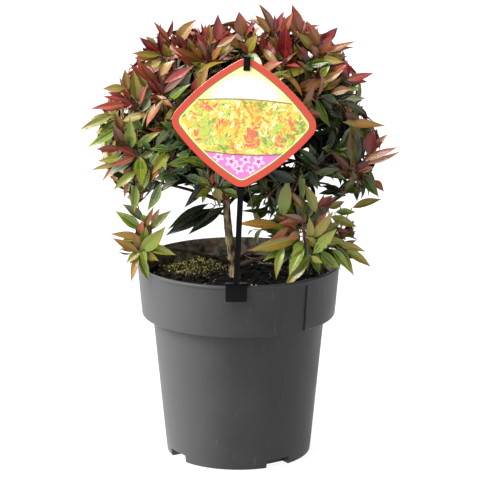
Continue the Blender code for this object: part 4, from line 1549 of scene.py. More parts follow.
class Room:
    """What already stands in the crown, and a test for the space that a new leaf would take."""

    PROXY_ROWS = (2, 4, 6)
    NEAR = 46.0 * MM
    SOLID_MARGIN = 0.5 * MM

    def __init__(self, form: CrownForm, front: FrontView, solids: Sequence[BVHTree]) -> None:
        """Keep the outline, the front view and the solids that leaves stay clear of.

        Args:
            form: The crown's outline.
            front: The photo's view.
            solids: Search trees of the solids that leaves stay clear of.
        """
        self.form = form
        self.front = front
        self.solids = solids
        self.trees: list[BVHTree] = []
        self.middles: list[np.ndarray] = []

    def proxy(self, points: np.ndarray) -> list[Vector]:
        """Return the few points of a leaf that stand for it: both margins and the rib, and its tip.

        Args:
            points: The leaf's points.

        Returns:
            The few points: three rows of three, and the tip.
        """
        wide = len(LeafPattern.UPPER)
        rows = [1 + (row - 1) * wide for row in self.PROXY_ROWS]
        spots = []
        for low in rows:
            spots += [Vector(points[low]), Vector((points[low + 2] + points[low + 3]) / 2)]
            spots.append(Vector(points[low + wide - 1]))
        tip = len(LeafPattern.STATIONS) - 2
        return [*spots, Vector(points[1 + tip * wide])]

    def takes(self, points: np.ndarray, outline: bool, seen: bool = False) -> bool:
        """Keep a leaf if it has room.

        Args:
            points: The leaf's points.
            outline: Whether it has to stay inside the crown's outline.
            seen: Whether it is one of those that the photo shows, which may cover others.

        Returns:
            Whether it had room.
        """
        spots = self.proxy(points)
        if outline and not all(self.form.in_crown(spot) for spot in spots):
            return False
        if not seen and self.front.hides(spots):
            return False
        if not all(self.form.behind_label(spot) for spot in spots):
            return False
        faces = ((0, 1, 4, 3), (1, 2, 5, 4), (3, 4, 7, 6), (4, 5, 8, 7), (6, 7, 9), (7, 8, 9))
        tree = BVHTree.FromPolygons(spots, faces)
        for solid in self.solids:
            close = (solid.find_nearest(spot, self.SOLID_MARGIN)[0] for spot in spots)
            if tree.overlap(solid) or any(close):
                return False
        middle = np.array(spots[4])
        if self.trees:
            apart = np.linalg.norm(np.array(self.middles) - middle, axis=1)
            for number in np.flatnonzero(apart < self.NEAR):
                if tree.overlap(self.trees[number]):
                    return False
        self.trees.append(tree)
        self.middles.append(middle)
        return True


def solid_trees(names: Sequence[str]) -> list[BVHTree]:
    """Return search trees of the named solids of the frame.

    Args:
        names: The solids' names in the frame.

    Returns:
        One search tree for each of them.
    """
    trees = []
    for name in names:
        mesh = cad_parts[name].data
        spots = [vertex.co.copy() for vertex in mesh.vertices]
        trees.append(BVHTree.FromPolygons(spots, [tuple(face.vertices) for face in mesh.polygons]))
    return trees


@dataclass
class Foliage:
    """Twigs and leaves: the solids' rule carried on to finer twigs within the same reach."""

    limbs: Limbs = field(default_factory=Limbs)
    form: CrownForm = field(default_factory=CrownForm)
    leaf_length: float = 38.0 * MM
    leaf_width: float = 0.33
    fill_points: int = 420
    side_apart: float = 20.5 * MM
    fill_apart: float = 22.0 * MM
    fill_depth: float = 22.0 * MM
    fill_floor: float = 262.0 * MM
    piece_leaves: int = 900
    side_tries: int = 14
    foot_spread: float = 1.15
    red_from: float = 308.0 * MM
    red_reach: float = 104.0 * MM
    # Painted shade: the low right side of the crown, where leaves are darkened.
    shade_side_from: float = 12.0 * MM
    shade_side_below: float = 362.0 * MM
    companions: int = 5
    stalk_reach: float = 14.0 * MM
    seen_radius: float = 1.05 * MM
    fill_radius: float = 0.85 * MM
    side_radius: float = 0.75 * MM
    inner_radius: float = 0.7 * MM
    stalk_radius: float = 0.6 * MM
    tip_radius: float = 0.45 * MM

    PAIR_DEPTHS = (0.0, 1.6, 5.0, 10.0, 17.0, 25.0, 34.0, 44.0)
    PAIR_ANGLES = (14.0, 30.0, 45.0, 58.0, 70.0, 80.0, 88.0, 94.0)
    PAIR_SCALES = (0.36, 0.66, 0.9, 1.0, 1.0, 0.96, 0.9, 0.84)
    BACKS = (0.0, 3.0, -3.0, 6.0, -6.0, 10.0, -10.0, 15.0, 20.0)
    TRIES = ((0.0, 1.0), (-12.0, 0.97), (13.0, 0.95), (-22.0, 0.9), (24.0, 0.86))

    def build(self) -> None:
        """Grow the crown and make its pieces."""
        names = ("pot", "soil", "trunk", "label", "label_stem")
        self.front = FrontView(Studio())
        self.room = Room(self.form, self.front, solid_trees(names))
        self.lines: list[tuple[list[Vector], float]] = []
        self.pattern = LeafPattern()
        self.palette = Palette()
        self.leaves: list[tuple[Vector, np.ndarray, Tint]] = []
        self.in_leaf: set[str] = set()
        twigs = [self.set_spray(spray) for spray in SPRAYS]
        LOG.info("%d leaves seen in the photo", len(self.leaves))
        for spray, twig in zip(SPRAYS, twigs):
            self.set_companions(spray, twig)
        LOG.info("%d leaves with their companions", len(self.leaves))
        sprigs = [sprig for mass in MASSES for sprig in self.main_sprigs(mass)]
        tips = [sprig.tip for sprig in sprigs]
        for mass in MASSES:
            sprigs += self.side_sprigs(mass, tips)
        sprigs += self.filling(tips)
        sprigs += [sprig for mass in MASSES if mass.bough for sprig in self.inner_sprigs(mass)]
        sprigs = [s for s in sprigs if s.free or not any(map(self.front.in_sky, self.path_of(s)))]
        LOG.info("%d sprigs", len(sprigs))
        for sprig in sprigs:
            self.grow(sprig, 0, 4)
        for sprig in sprigs:
            self.grow(sprig, 4, sprig.pairs)
        self.make_twigs(sprigs)
        self.make_leaves()

    def flush_for(self, mass: Mass, tip: Vector, chance: random.Random) -> Flush:
        """Choose a spray's tints by where it grows.

        Args:
            mass: The mass that bears it.
            tip: Its end.
            chance: The seeded source of chance.

        Returns:
            The spray's tints.
        """
        if mass.name == "hanging_left":
            return Flush.SHADE
        if mass.is_foot:
            return chance.choice((Flush.LIME, Flush.LIME, Flush.OLIVE))
        redness = (tip.z - self.red_from) / self.red_reach + chance.uniform(-0.22, 0.22)
        steps = ((0.94, Flush.CRIMSON), (0.66, Flush.RUST), (0.36, Flush.BRONZE), (0.02, Flush.OLIVE))
        for limit, flush in steps:
            if redness > limit:
                return flush
        # Painted shade: on the shaded side, sprays take darker greens.
        if self.on_shade_side(tip):
            return chance.choice((Flush.GREEN, Flush.DEEP, Flush.DEEP, Flush.OLIVE))
        return chance.choice((Flush.LIME, Flush.GREEN, Flush.OLIVE))

    def on_shade_side(self, spot: Vector) -> bool:
        """Tell whether a point lies on the crown's shaded side, low on the right, where leaves are given
        painted shade.
        """
        return spot.x > self.shade_side_from and spot.z < self.shade_side_below

    def main_sprigs(self, mass: Mass) -> list[Sprig]:
        """Return a mass's shoots as sprigs.

        Args:
            mass: The mass of foliage.

        Returns:
            One sprig for each of its shoots.
        """
        chance = random.Random(f"shoots of {mass.name} in leaf")
        heart = self.limbs.heart(mass)
        length = self.leaf_length * mass.leaf
        sprigs = []
        for number, tip in enumerate(self.limbs.shoot_tips(mass, self.form.cell(mass))):
            flush = self.flush_for(mass, tip, chance)
            seed = f"{mass.name} {number}"
            sprigs.append(Sprig(heart, tip, 7 - number % 2, length, flush, seed, mass.is_foot))
        return sprigs

    def side_sprigs(self, mass: Mass, tips: list[Vector]) -> list[Sprig]:
        """Return finer sprigs that spring from a mass's shoots, where other tips leave room.

        Args:
            mass: The mass that bears them.
            tips: The ends of all sprigs so far, to which the new ones are added.

        Returns:
            The new sprigs.
        """
        chance = random.Random(f"finer shoots of {mass.name}")
        heart = self.limbs.heart(mass)
        apart = self.side_apart * (self.foot_spread if mass.is_foot else 1.0)
        sprigs = []
        for shoot in self.limbs.shoot_tips(mass, self.form.cell(mass)):
            way = (shoot - heart).normalized()
            aside = way.orthogonal().normalized()
            for _ in range(self.side_tries):
                start = heart.lerp(shoot, chance.uniform(0.2, 0.6))
                tilt = math.radians(chance.uniform(40.0, 70.0))
                spin = Matrix.Rotation(chance.uniform(0.0, 2 * math.pi), 3, way)
                ray = spin @ Matrix.Rotation(tilt, 3, aside) @ way
                tip = start + ray * chance.uniform(16.0, 28.0) * MM
                beyond = tip + ray * 15.0 * MM
                if not self.form.behind_label(beyond) or not (mass.is_foot or self.form.in_crown(beyond)):
                    continue
                if self.front.hides([tip]):
                    continue
                if min((other - tip).length for other in tips) < apart:
                    continue
                flush = self.flush_for(mass, tip, chance)
                leaf = self.leaf_length * mass.leaf * chance.uniform(0.84, 0.96)
                seed = f"{mass.name} side {len(tips)}"
                sprigs.append(Sprig(start, tip, 5, leaf, flush, seed, mass.is_foot, self.side_radius))
                tips.append(tip)
        return sprigs

    def filling(self, tips: list[Vector]) -> list[Sprig]:
        """Return sprigs for the parts of the crown's outer face that no sprig reaches yet.

        Args:
            tips: The ends of all sprigs so far, to which the new ones are added.

        Returns:
            The new sprigs.
        """
        chance = random.Random("filling sprigs")
        hearts = [(self.limbs.heart(mass), mass) for mass in MASSES if not mass.is_foot]
        added = []
        golden = math.pi * (3.0 - math.sqrt(5.0))
        for number in range(self.fill_points):
            level = 1.0 - 2.0 * (number + 0.5) / self.fill_points
            flat = math.sqrt(1.0 - level**2)
            way = Vector((flat * math.cos(golden * number), flat * math.sin(golden * number), level))
            spot = self.form.surface(way) - way * self.fill_depth
            if spot.z < self.fill_floor or not self.form.behind_label(spot + way * 12.0 * MM):
                continue
            if min((tip - spot).length for tip in tips) < self.fill_apart:
                continue
            heart, mass = min(hearts, key=lambda pair: (pair[0] - spot).length)
            flush = self.flush_for(mass, spot, chance)
            leaf = self.leaf_length * chance.uniform(0.9, 1.02)
            seed = f"filling {number}"
            added.append(Sprig(heart, spot, 6, leaf, flush, seed, False, self.fill_radius))
            tips.append(spot)
        return added

    def inner_sprigs(self, mass: Mass) -> list[Sprig]:
        """Return short sprigs of mature leaves along a mass's bough, in the crown's shade.

        Args:
            mass: The mass of foliage.

        Returns:
            The new sprigs.
        """
        if mass.is_foot:
            return []
        chance = random.Random(f"inner sprigs of {mass.name}")
        path = smoothed(self.limbs.bough(mass), 4)
        sprigs = []
        for number, share in enumerate((0.36, 0.46, 0.56, 0.66, 0.76, 0.86)):
            start = path[round(share * (len(path) - 1))]
            along = (path[-1] - start).normalized()
            spin = Matrix.Rotation(chance.uniform(0.0, 2 * math.pi), 3, along)
            ray = (spin @ along.orthogonal().normalized() + along * 0.6 + UP * 0.25).normalized()
            tip = start + ray * chance.uniform(16.0, 26.0) * MM
            if self.form.in_crown(tip) and self.form.behind_label(tip + ray * 8.0 * MM):
                # Dark greens: mature leaves are darker, and the rest is painted shade for the crown's
                # inside.
                flush = chance.choice((Flush.DEEP, Flush.DEEP, Flush.SHADE, Flush.GREEN))
                seed = f"{mass.name} inner {number}"
                leaf = self.leaf_length * 0.95
                sprigs.append(Sprig(start, tip, 4, leaf, flush, seed, False, self.inner_radius))
        return sprigs

    def set_spray(self, spray: Spray) -> list[Vector]:
        """Set a shoot and its leaves where the photo shows them.

        Args:
            spray: The shoot.

        Returns:
            The points of its twig.
        """
        mass = next(mass for mass in MASSES if mass.name == spray.mass)
        chance = random.Random(f"spray at {spray.top}")
        depth = spray.depth * MM
        knots = [self.limbs.heart(mass)]
        if spray.through:
            knots.append(self.front.point(*spray.through, depth))
        top = self.front.point(*spray.top, depth)
        line = smoothed([*knots, top], 6)
        self.lines.append((line, self.seen_radius))
        for leaf in spray.leaves:
            root_x, root_y, tip_x, tip_y, width, tint, lean = leaf
            reach = math.hypot(tip_x - root_x, tip_y - root_y) * MM
            for back in self.BACKS:
                root = self.front.point(root_x, root_y, depth + back * MM)
                tip = self.front.point(tip_x, tip_y, depth + back * MM - lean * reach)
                points = self.seen_leaf(root, tip, width * MM, chance)
                if self.room.takes(points, False, seen=True):
                    # Painted shade: on the shaded side, leaves that lean forwards, and those whose colour
                    # is dark green, red or painted sheen, take the darkened copy of their colours.
                    dim = (lean > 0.33 or not 3.6 < tint < 8.8) and self.on_shade_side(root) and not mass.is_foot
                    self.leaves.append((root, points, Tint(tint, spray.blush, dim)))
                    self.front.keep_shown(self.pattern.margin(points))
                    self.join_leaf(line, root)
                    break
            else:
                LOG.info("no room for a leaf at %s", (tip_x, tip_y))
        return line

    def join_leaf(self, line: Sequence[Vector], root: Vector) -> None:
        """Lead a thin stalk from the nearest point of a twig to a leaf's root."""
        near = min(line, key=lambda spot: (spot - root).length)
        self.lines.append(([near, near.lerp(root, 0.5) + UP * 0.4 * MM, root], self.stalk_radius))

    def set_companions(self, spray: Spray, line: Sequence[Vector]) -> None:
        """Set more leaves behind and between those that the photo shows on a shoot.

        Args:
            spray: The shoot.
            line: The points of its twig.
        """
        chance = random.Random(f"companions at {spray.top}")
        for leaf in spray.leaves * self.companions:
            root_x, root_y, tip_x, tip_y, _, tint, lean = leaf
            length = math.hypot(tip_x - root_x, tip_y - root_y) * chance.uniform(0.6, 0.95)
            length = min(max(length, 14.0), 32.0)
            angle = math.atan2(tip_y - root_y, tip_x - root_x) + chance.uniform(-0.9, 0.9)
            start_x, start_y = root_x + chance.uniform(-5.0, 5.0), root_y + chance.uniform(-5.0, 5.0)
            end_x, end_y = start_x + length * math.cos(angle), start_y + length * math.sin(angle)
            depth = (spray.depth + chance.uniform(4.0, 18.0)) * MM
            root = self.front.point(start_x, start_y, depth)
            tip = self.front.point(end_x, end_y, depth - (lean + chance.uniform(-0.3, 0.3)) * length * MM)
            points = self.seen_leaf(root, tip, length * chance.uniform(0.22, 0.32) * MM, chance)
            near = min(line, key=lambda spot: (spot - root).length)
            if (near - root).length > self.stalk_reach or self.front.in_sky(near.lerp(root, 0.5)):
                continue
            if self.room.takes(points, False):
                # Painted shade: companions stand behind the seen leaves, so they take a place lower on the
                # ramp, towards green, and often the darkened copy of their colours, more often on the
                # shaded side.
                young = max(min(tint, 9.0) - chance.uniform(0.6, 2.4), 0.4)
                dim = chance.random() < (0.7 if self.on_shade_side(root) else 0.4)
                self.leaves.append((root, points, Tint(young, spray.blush * 0.6, dim)))
                self.join_leaf(line, root)

    def seen_leaf(self, root: Vector, tip: Vector, width: float, chance: random.Random) -> np.ndarray:
        """Return the points of a leaf that runs from root to tip and turns its upper side to the front.

        Args:
            root: Where the leaf starts.
            tip: Where it ends.
            width: How wide it is.
            chance: The seeded source of chance.

        Returns:
            The leaf's points.
        """
        chord = (tip - root).normalized()
        front = (Vector((0.0, -1.0, 0.0)) + UP * 0.45).normalized()
        upper = (front - chord * front.dot(chord)).normalized()
        upper.rotate(Matrix.Rotation(chance.uniform(-0.4, 0.4), 3, chord))
        curl = chance.uniform(0.05, 0.6)
        tilt = curl * 0.435
        way = chord * math.cos(tilt) + upper * math.sin(tilt)
        face = upper * math.cos(tilt) - chord * math.sin(tilt)
        fold = math.radians(chance.uniform(14.0, 36.0))
        length = (tip - root).length * 1.01
        width = width * 1.12
        sickle = chance.uniform(-0.35, 0.35)
        bends = (fold, curl, chance.uniform(-0.2, 0.2), 0.03, chance.uniform(0, 6), sickle)
        return self.pattern.points(root, way, face, Blade(length, width, *bends))

    def path_of(self, sprig: Sprig) -> list[Vector]:
        """Return a sprig's gently arched line from its start to its tip.

        Args:
            sprig: The sprig.

        Returns:
            The line's points.
        """
        chance = random.Random(f"arch of {sprig.seed}")
        span = sprig.tip - sprig.start
        aside = span.orthogonal().normalized()
        aside.rotate(Matrix.Rotation(chance.uniform(0.0, 2 * math.pi), 3, span.normalized()))
        bow = span.length * chance.uniform(0.03, 0.09)
        sag = UP * -0.05 * span.length
        steps = 6
        return [
            sprig.start + span * (step / steps) + (aside * bow + sag) * math.sin(math.pi * step / steps)
            for step in range(steps + 1)
        ]

    def grow(self, sprig: Sprig, first: int, last: int) -> None:
        """Set a sprig's leaves in crossed pairs, from its tip down.

        Args:
            sprig: The sprig.
            first: The first pair to set.
            last: The pair after the last one to set.
        """
        chance = random.Random(f"leaves of {sprig.seed} from {first}")
        span = sprig.tip - sprig.start
        way = span.normalized()
        side = way.orthogonal().normalized()
        turn = random.Random(f"turn of {sprig.seed}").uniform(0.0, math.pi)
        young, middle, old, blush = sprig.flush.value
        for pair in range(first, min(last, sprig.pairs)):
            depth = self.PAIR_DEPTHS[pair] * MM
            if depth > span.length * 0.94:
                break
            age = pair / 5.0
            if age < 0.5:
                tint = mixed(young, middle, age * 2)
            else:
                tint = mixed(middle, old, min(age * 2 - 1, 1.3))
            for half in (0.0, math.pi):
                spin = turn + pair * math.pi / 2 + half + chance.uniform(-0.12, 0.12)
                out = Matrix.Rotation(spin, 3, way) @ side
                root = sprig.tip - way * depth
                place = tint + chance.gauss(0.0, 0.45)
                self.set_leaf(sprig, root, way, out, pair, place, blush, chance)

    def set_leaf(
        self,
        sprig: Sprig,
        root: Vector,
        way: Vector,
        out: Vector,
        pair: int,
        tint: float,
        blush: float,
        chance: random.Random,
    ) -> None:
        """Set one leaf, at the first of a few angles that leaves it room.

        Args:
            sprig: The sprig that bears it.
            root: Where it joins the twig.
            way: The twig's direction.
            out: The direction away from the twig on the leaf's side.
            pair: How many pairs are between it and the tip.
            tint: Its place on the colour ramp.
            blush: How much redder its tip is.
            chance: The seeded source of chance.
        """
        length = sprig.leaf * self.PAIR_SCALES[pair] * chance.uniform(0.88, 1.1)
        width = self.leaf_width * length * chance.uniform(0.88, 1.12) * (0.72 if pair == 0 else 1.0)
        fold = math.radians(chance.uniform(30, 46) if pair < 2 else chance.uniform(12, 32))
        curl = chance.uniform(-0.1, 0.35) if pair < 2 else chance.uniform(0.2, 0.95)
        blade_twist = chance.uniform(-0.35, 0.35)
        for change, shorter in self.TRIES:
            lean = math.radians(self.PAIR_ANGLES[pair] + change + chance.uniform(-6.0, 6.0))
            direction = way * math.cos(lean) + out * math.sin(lean)
            upper = way * math.sin(lean) - out * math.cos(lean)
            if pair > 2:
                direction = (direction - UP * 0.1).normalized()
                upper = (upper + UP * 0.3).normalized()
            bends = (fold, curl, blade_twist, 0.03, chance.uniform(0.0, 6.0), chance.uniform(-0.3, 0.3))
            blade = Blade(length * shorter, width * shorter, *bends)
            points = self.pattern.points(root, direction, upper, blade)
            if self.room.takes(points, not sprig.free):
                middle = root + direction * length / 2
                # Painted shade: leaves deep inside the crown move towards dark green, lose their blush and
                # often take the darkened copy of their colours; many on the shaded side do too, and foot
                # sprigs take a little of it everywhere.
                shaded = 0.1 if sprig.free else max(0.0, 0.78 - self.form.outwardness(middle))
                dim = chance.random() < 2.2 * shaded + (0.4 if self.on_shade_side(middle) else 0.0)
                kept = max(0.0, 1.0 - 2.0 * shaded)
                self.leaves.append((root, points, Tint(max(tint - 5.0 * shaded, 0.0), blush * kept, dim)))
                self.in_leaf.add(sprig.seed)
                return

    def make_twigs(self, sprigs: Sequence[Sprig]) -> None:
        """Make the twigs, and the stalks of the leaves that the photo shows.

        Args:
            sprigs: All sprigs, of which those in leaf are made.
        """
        twigs = Shapes()
        slim = Round(6)
        lines = [(smoothed(self.path_of(s), 2), s.radius) for s in sprigs if s.seed in self.in_leaf]
        for path, thick in [*self.lines, *lines]:
            last = len(path) - 1
            radii = [mixed(thick, self.tip_radius, step / last) for step in range(last + 1)]
            twigs.add(*slim.rings(path, radii))
        finish = BarkFinish("young_twig_bark", linear(74, 44, 30), linear(112, 74, 44), 0.55, 160.0)
        piece = twigs.piece("twigs", [finish.material()], Slot.BARK)
        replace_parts(piece, *(mass.name for mass in MASSES))

    def make_leaves(self) -> None:
        """Join the leaves into pieces by height, each well under the largest size."""
        finishes = self.palette.materials()
        self.leaves.sort(key=lambda leaf: leaf[0].z)
        LOG.info("%d leaves", len(self.leaves))
        for number, start in enumerate(range(0, len(self.leaves), self.piece_leaves)):
            shapes = Shapes()
            for _, points, tint in self.leaves[start : start + self.piece_leaves]:
                tints = [self.palette.place(*part, tint) for part in self.pattern.parts]
                shapes.add(points, self.pattern.faces, tints, self.pattern.chart)
            piece = shapes.piece(f"leaves_{number + 1}", finishes, Slot.LEAF)
            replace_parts(piece, *(mass.name for mass in MASSES))


@dataclass
class Bark:
    """The trunk and boughs with the relief of their bark."""

    limbs: Limbs = field(default_factory=Limbs)
    rows: int = 110
    sides: int = 24
    relief: float = 0.34 * MM
    scar_spacing: float = 15.0 * MM

    def fissures(self, spot: Vector) -> float:
        """Return the bark's height at a point of a limb.

        Args:
            spot: The point.

        Returns:
            The height, which may be below 0 in a fissure.
        """
        coarse = noise.noise(Vector((spot.x * 420, spot.y * 420, spot.z * 90)))
        fine = noise.noise(Vector((spot.x * 900, spot.y * 900, spot.z * 330)))
        lumps = noise.noise(Vector((spot.x * 110, spot.y * 110, spot.z * 75)))
        scar = max(0.0, math.cos(2 * math.pi * spot.z / self.scar_spacing + 2.0 * lumps)) ** 14
        return self.relief * (coarse + 0.45 * fine + 1.3 * max(lumps, 0.0) + 1.4 * scar)

    def build(self) -> None:
        """Make the trunk and the boughs."""
        grey = BarkFinish("grey_brown_bark", linear(28, 22, 16), linear(190, 166, 128), 0.85, 190.0)
        brown = BarkFinish("brown_bough_bark", linear(34, 24, 18), linear(86, 64, 46), 0.8, 210.0)
        self.trunk(grey.material())
        self.boughs(brown.material())

    def trunk(self, finish: bpy.types.Material) -> None:
        """Make the trunk.

        Args:
            finish: The bark's material.
        """
        limbs = self.limbs
        heights = [
            limbs.trunk_foot.z - 4 * MM + (limbs.trunk_length + 4 * MM) * (row / self.rows) ** 1.2
            for row in range(self.rows + 1)
        ]
        path = [limbs.trunk_point(max(height, limbs.trunk_foot.z - 4 * MM)) for height in heights]
        radii = [limbs.trunk_width(height) for height in heights]
        shapes = Shapes()
        shapes.add(*Round(self.sides).rings(path, radii, self.fissures))
        piece = shapes.piece("trunk_bark", [finish], Slot.BARK)
        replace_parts(piece, "trunk")

    def boughs(self, finish: bpy.types.Material) -> None:
        """Make the boughs, each with the stem that leads on into its mass.

        Args:
            finish: The bark's material.
        """
        limbs = self.limbs
        shapes = Shapes()
        ring = Round(12)
        for mass in MASSES:
            path = smoothed(limbs.bough(mass), 6)
            last = len(path) - 1
            thick = limbs.bough_radius if mass.bough else limbs.stem_radius
            radii = [mixed(thick, limbs.twig_radius, step / last) for step in range(last + 1)]
            shapes.add(*ring.rings(path, radii, lambda spot: self.fissures(spot) * 0.5))
        piece = shapes.piece("bough_bark", [finish], Slot.BARK)
        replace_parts(piece, *(f"bough_{mass.name}" for mass in MASSES if mass.bough))


@dataclass
class NurseryPot:
    """The pot: a tapered tub with a wide collar, two flat panels and four arches at its foot."""

    collar_foot_radius: float = 94.9 * MM
    collar_foot_height: float = 140.3 * MM
    shoulder_radius: float = 84.5 * MM
    base_radius: float = 71.2 * MM
    wall: float = 1.9 * MM
    floor: float = 2.2 * MM
    lip: float = 3.4 * MM
    lip_proud: float = 0.7 * MM
    edge_round: float = 1.8 * MM
    shoulder_bevel: float = 1.0 * MM
    panel_azimuths: tuple[float, ...] = (-57.0, 123.0)
    panel_width: float = 30.0 * MM
    panel_below_rim: float = 5.5 * MM
    panel_depth: float = 3.2 * MM
    arch_azimuths: tuple[float, ...] = (-57.0, 33.0, 123.0, 213.0)
    arch_width: float = 26.0 * MM
    arch_height: float = 8.0 * MM
    arch_depth: float = 12.0 * MM
    drain_width: float = 12.0 * MM
    drain_depth: float = 5.0 * MM
    sides: int = 160

    def __post_init__(self) -> None:
        """Read the height and the rim's radius from the frame."""
        low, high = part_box("pot")
        self.height = high[2] - low[2]
        self.rim_radius = (high[0] - low[0]) / 2

    def outer_radius(self, height: float) -> float:
        """Return the wall's outer radius at a height.

        Args:
            height: The height above the ground.

        Returns:
            The radius there.
        """
        if height >= self.collar_foot_height:
            share = (height - self.collar_foot_height) / (self.height - self.collar_foot_height)
            return mixed(self.collar_foot_radius, self.rim_radius - self.lip_proud, share)
        return mixed(self.base_radius, self.shoulder_radius, height / self.collar_foot_height)

    def panel_inside(self) -> float:
        """Return how far the inner face of a panel is from the pot's middle, at the panel's foot."""
        return self.collar_foot_radius - self.panel_depth - self.wall

    def rounded(
        self, corner: tuple[float, float], start: float, end: float, radius: float
    ) -> Iterator[tuple[float, float]]:
        """Return the points of a quarter arc inside a corner, from one angle in degrees to another.

        Args:
            corner: The corner's radius and height.
            start: The first angle.
            end: The last angle.
            radius: The arc's own radius.

        Returns:
            The arc's points.
        """
        steps = 4
        x, z = corner
        middle_x = x - radius * math.copysign(1.0, math.cos(math.radians((start + end) / 2)))
        middle_z = z - radius * math.copysign(1.0, math.sin(math.radians((start + end) / 2)))
        for step in range(steps + 1):
            angle = math.radians(mixed(start, end, step / steps))
            yield (middle_x + radius * math.cos(angle), middle_z + radius * math.sin(angle))

    def outline(self) -> list[tuple[float, float]]:
        """Return the outside of the pot as (radius, height) points that run down from the top's middle.

        Returns:
            The outline's points.
        """
        under_lip = self.height - self.lip
        points = [(0.0, self.height)]
        points += self.rounded((self.rim_radius, self.height), 90, 0, self.lip / 3)
        points += self.rounded((self.rim_radius, under_lip), 0, -90, self.lip / 4)
        points.append((self.outer_radius(under_lip), under_lip))
        for share in (0.75, 0.5, 0.25):
            height = mixed(self.collar_foot_height, under_lip, share)
            points.append((self.outer_radius(height), height))
        points += self.rounded((self.collar_foot_radius, self.collar_foot_height), 0, -90, self.edge_round)
        points.append((self.shoulder_radius + self.shoulder_bevel, self.collar_foot_height))
        points.append((self.shoulder_radius, self.collar_foot_height - self.shoulder_bevel))
        for share in (0.85, 0.7, 0.55, 0.4, 0.25, 0.12):
            height = self.collar_foot_height * share
            points.append((self.outer_radius(height), height))
        points += self.rounded((self.base_radius, 0.0), 0, -90, self.edge_round)
        return [*points, (0.0, 0.0)]

    def inside(self) -> list[tuple[float, float]]:
        """Return the inside of the pot in the same way, standing proud of its top.

        Returns:
            The outline's points.
        """
        top = self.height + 4 * MM
        step = self.collar_foot_height + self.wall
        return [
            (0.0, top),
            (self.rim_radius - self.lip_proud - self.wall, top),
            (self.rim_radius - self.lip_proud - self.wall, self.height),
            (self.collar_foot_radius - self.wall, step),
            (self.shoulder_radius - self.wall, step),
            (self.outer_radius(self.floor) - self.wall, self.floor),
            (0.0, self.floor),
        ]

    def turned(
        self, name: str, outline: Sequence[tuple[float, float]], spin: float = 0.0
    ) -> bpy.types.Object:
        """Return a solid of revolution as a plain object.

        Args:
            name: The object's name.
            outline: Its outline as (radius, height) points.
            spin: The angle at which its first side starts.

        Returns:
            The new object.
        """
        points = [np.array([(0.0, 0.0, outline[0][1])])]
        for radius, height in outline[1:-1]:
            angles = np.arange(self.sides) * 2 * math.pi / self.sides + spin
            level = np.full(self.sides, height)
            points.append(np.stack([radius * np.cos(angles), radius * np.sin(angles), level], 1))
        points.append(np.array([(0.0, 0.0, outline[-1][1])]))
        rows = len(outline) - 2
        last = 1 + rows * self.sides
        faces: Faces = []
        for side in range(self.sides):
            after = (side + 1) % self.sides
            faces.append((0, 1 + side, 1 + after))
            for row in range(rows - 1):
                high, low = 1 + row * self.sides, 1 + (row + 1) * self.sides
                faces.append((high + side, low + side, low + after, high + after))
            foot = 1 + (rows - 1) * self.sides
            faces.append((foot + side, last, foot + after))
        mesh = bpy.data.meshes.new(name)
        mesh.from_pydata(np.concatenate(points).tolist(), [], faces)
        made = bpy.data.objects.new(name, mesh)
        bpy.context.scene.collection.objects.link(made)
        return made

    def recesses(self, grown: float) -> list[bpy.types.Object]:
        """Return the shapes of the panels and arches, grown on all sides by a distance.

        Args:
            grown: How much larger than the real hollows the shapes are.

        Returns:
            The new objects, two for the panels and four for the arches.
        """
        spread = Vector((grown, grown, grown))
        rise = self.height - self.collar_foot_height
        taper = math.atan((self.rim_radius - self.collar_foot_radius) / rise)
        shapes = []
        for azimuth in self.panel_azimuths:
            low = Vector((-self.panel_depth, -self.panel_width / 2, -10 * MM)) - spread
            top = rise - self.panel_below_rim
            high = Vector((self.panel_depth * 3, self.panel_width / 2, top)) + spread
            placing = (
                Matrix.Rotation(math.radians(azimuth), 4, "Z")
                @ Matrix.Translation((self.collar_foot_radius, 0.0, self.collar_foot_height))
                @ Matrix.Rotation(taper, 4, "Y")
            )
            shapes.append(box("panel_cutter", low, high, placing))
        for azimuth in self.arch_azimuths:
            inner, outer = self.base_radius - self.arch_depth, self.base_radius + self.arch_depth
            low = Vector((inner, -self.arch_width / 2, -self.arch_height)) - spread
            high = Vector((outer, self.arch_width / 2, self.arch_height)) + spread
            shapes.append(box("arch_cutter", low, high, Matrix.Rotation(math.radians(azimuth), 4, "Z")))
        return shapes

    def drains(self) -> list[bpy.types.Object]:
        """Return the shapes of the slots through the arches' roofs, where water leaves.

        Returns:
            One new object for each arch.
        """
        inner = self.base_radius - self.arch_depth + 2 * MM
        low = Vector((inner, -self.drain_width / 2, self.arch_height - 1 * MM))
        roof = self.arch_height + self.wall + 1 * MM
        high = Vector((inner + self.drain_depth, self.drain_width / 2, roof))
        return [
            box("drain_cutter", low, high, Matrix.Rotation(math.radians(azimuth), 4, "Z"))
            for azimuth in self.arch_azimuths
        ]

    def build(self) -> None:
        """Make the pot."""
        pot = self.turned("nursery_pot", self.outline())
        hollow = self.turned("pot_hollow", self.inside(), math.pi / self.sides)
        carve(hollow, self.recesses(self.wall))
        carve(pot, [hollow, *self.recesses(0.0), *self.drains()])
        pot.data.materials.clear()
        pot.data.materials.append(PotPlastic().material())
        sharpened(pot, 32.0)
        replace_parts(dressed(pot, Slot.POT), "pot")


def box(name: str, low: Vector, high: Vector, placing: Matrix | None = None) -> bpy.types.Object:
    """Return a box between two corners, moved by a placing matrix.

    Args:
        name: The box's name.
        low: Its lowest corner.
        high: Its highest corner.
        placing: The matrix that moves it, or nothing to leave it in place.

    Returns:
        The new object.
    """
    shape = bmesh.new()
    bmesh.ops.create_cube(shape, size=1.0)
    stretch = Matrix.Translation((low + high) / 2) @ Matrix.Diagonal(high - low).to_4x4()
    bmesh.ops.transform(shape, matrix=(placing or Matrix()) @ stretch, verts=shape.verts)
    mesh = bpy.data.meshes.new(name)
    shape.to_mesh(mesh)
    shape.free()
    made = bpy.data.objects.new(name, mesh)
    bpy.context.scene.collection.objects.link(made)
    return made


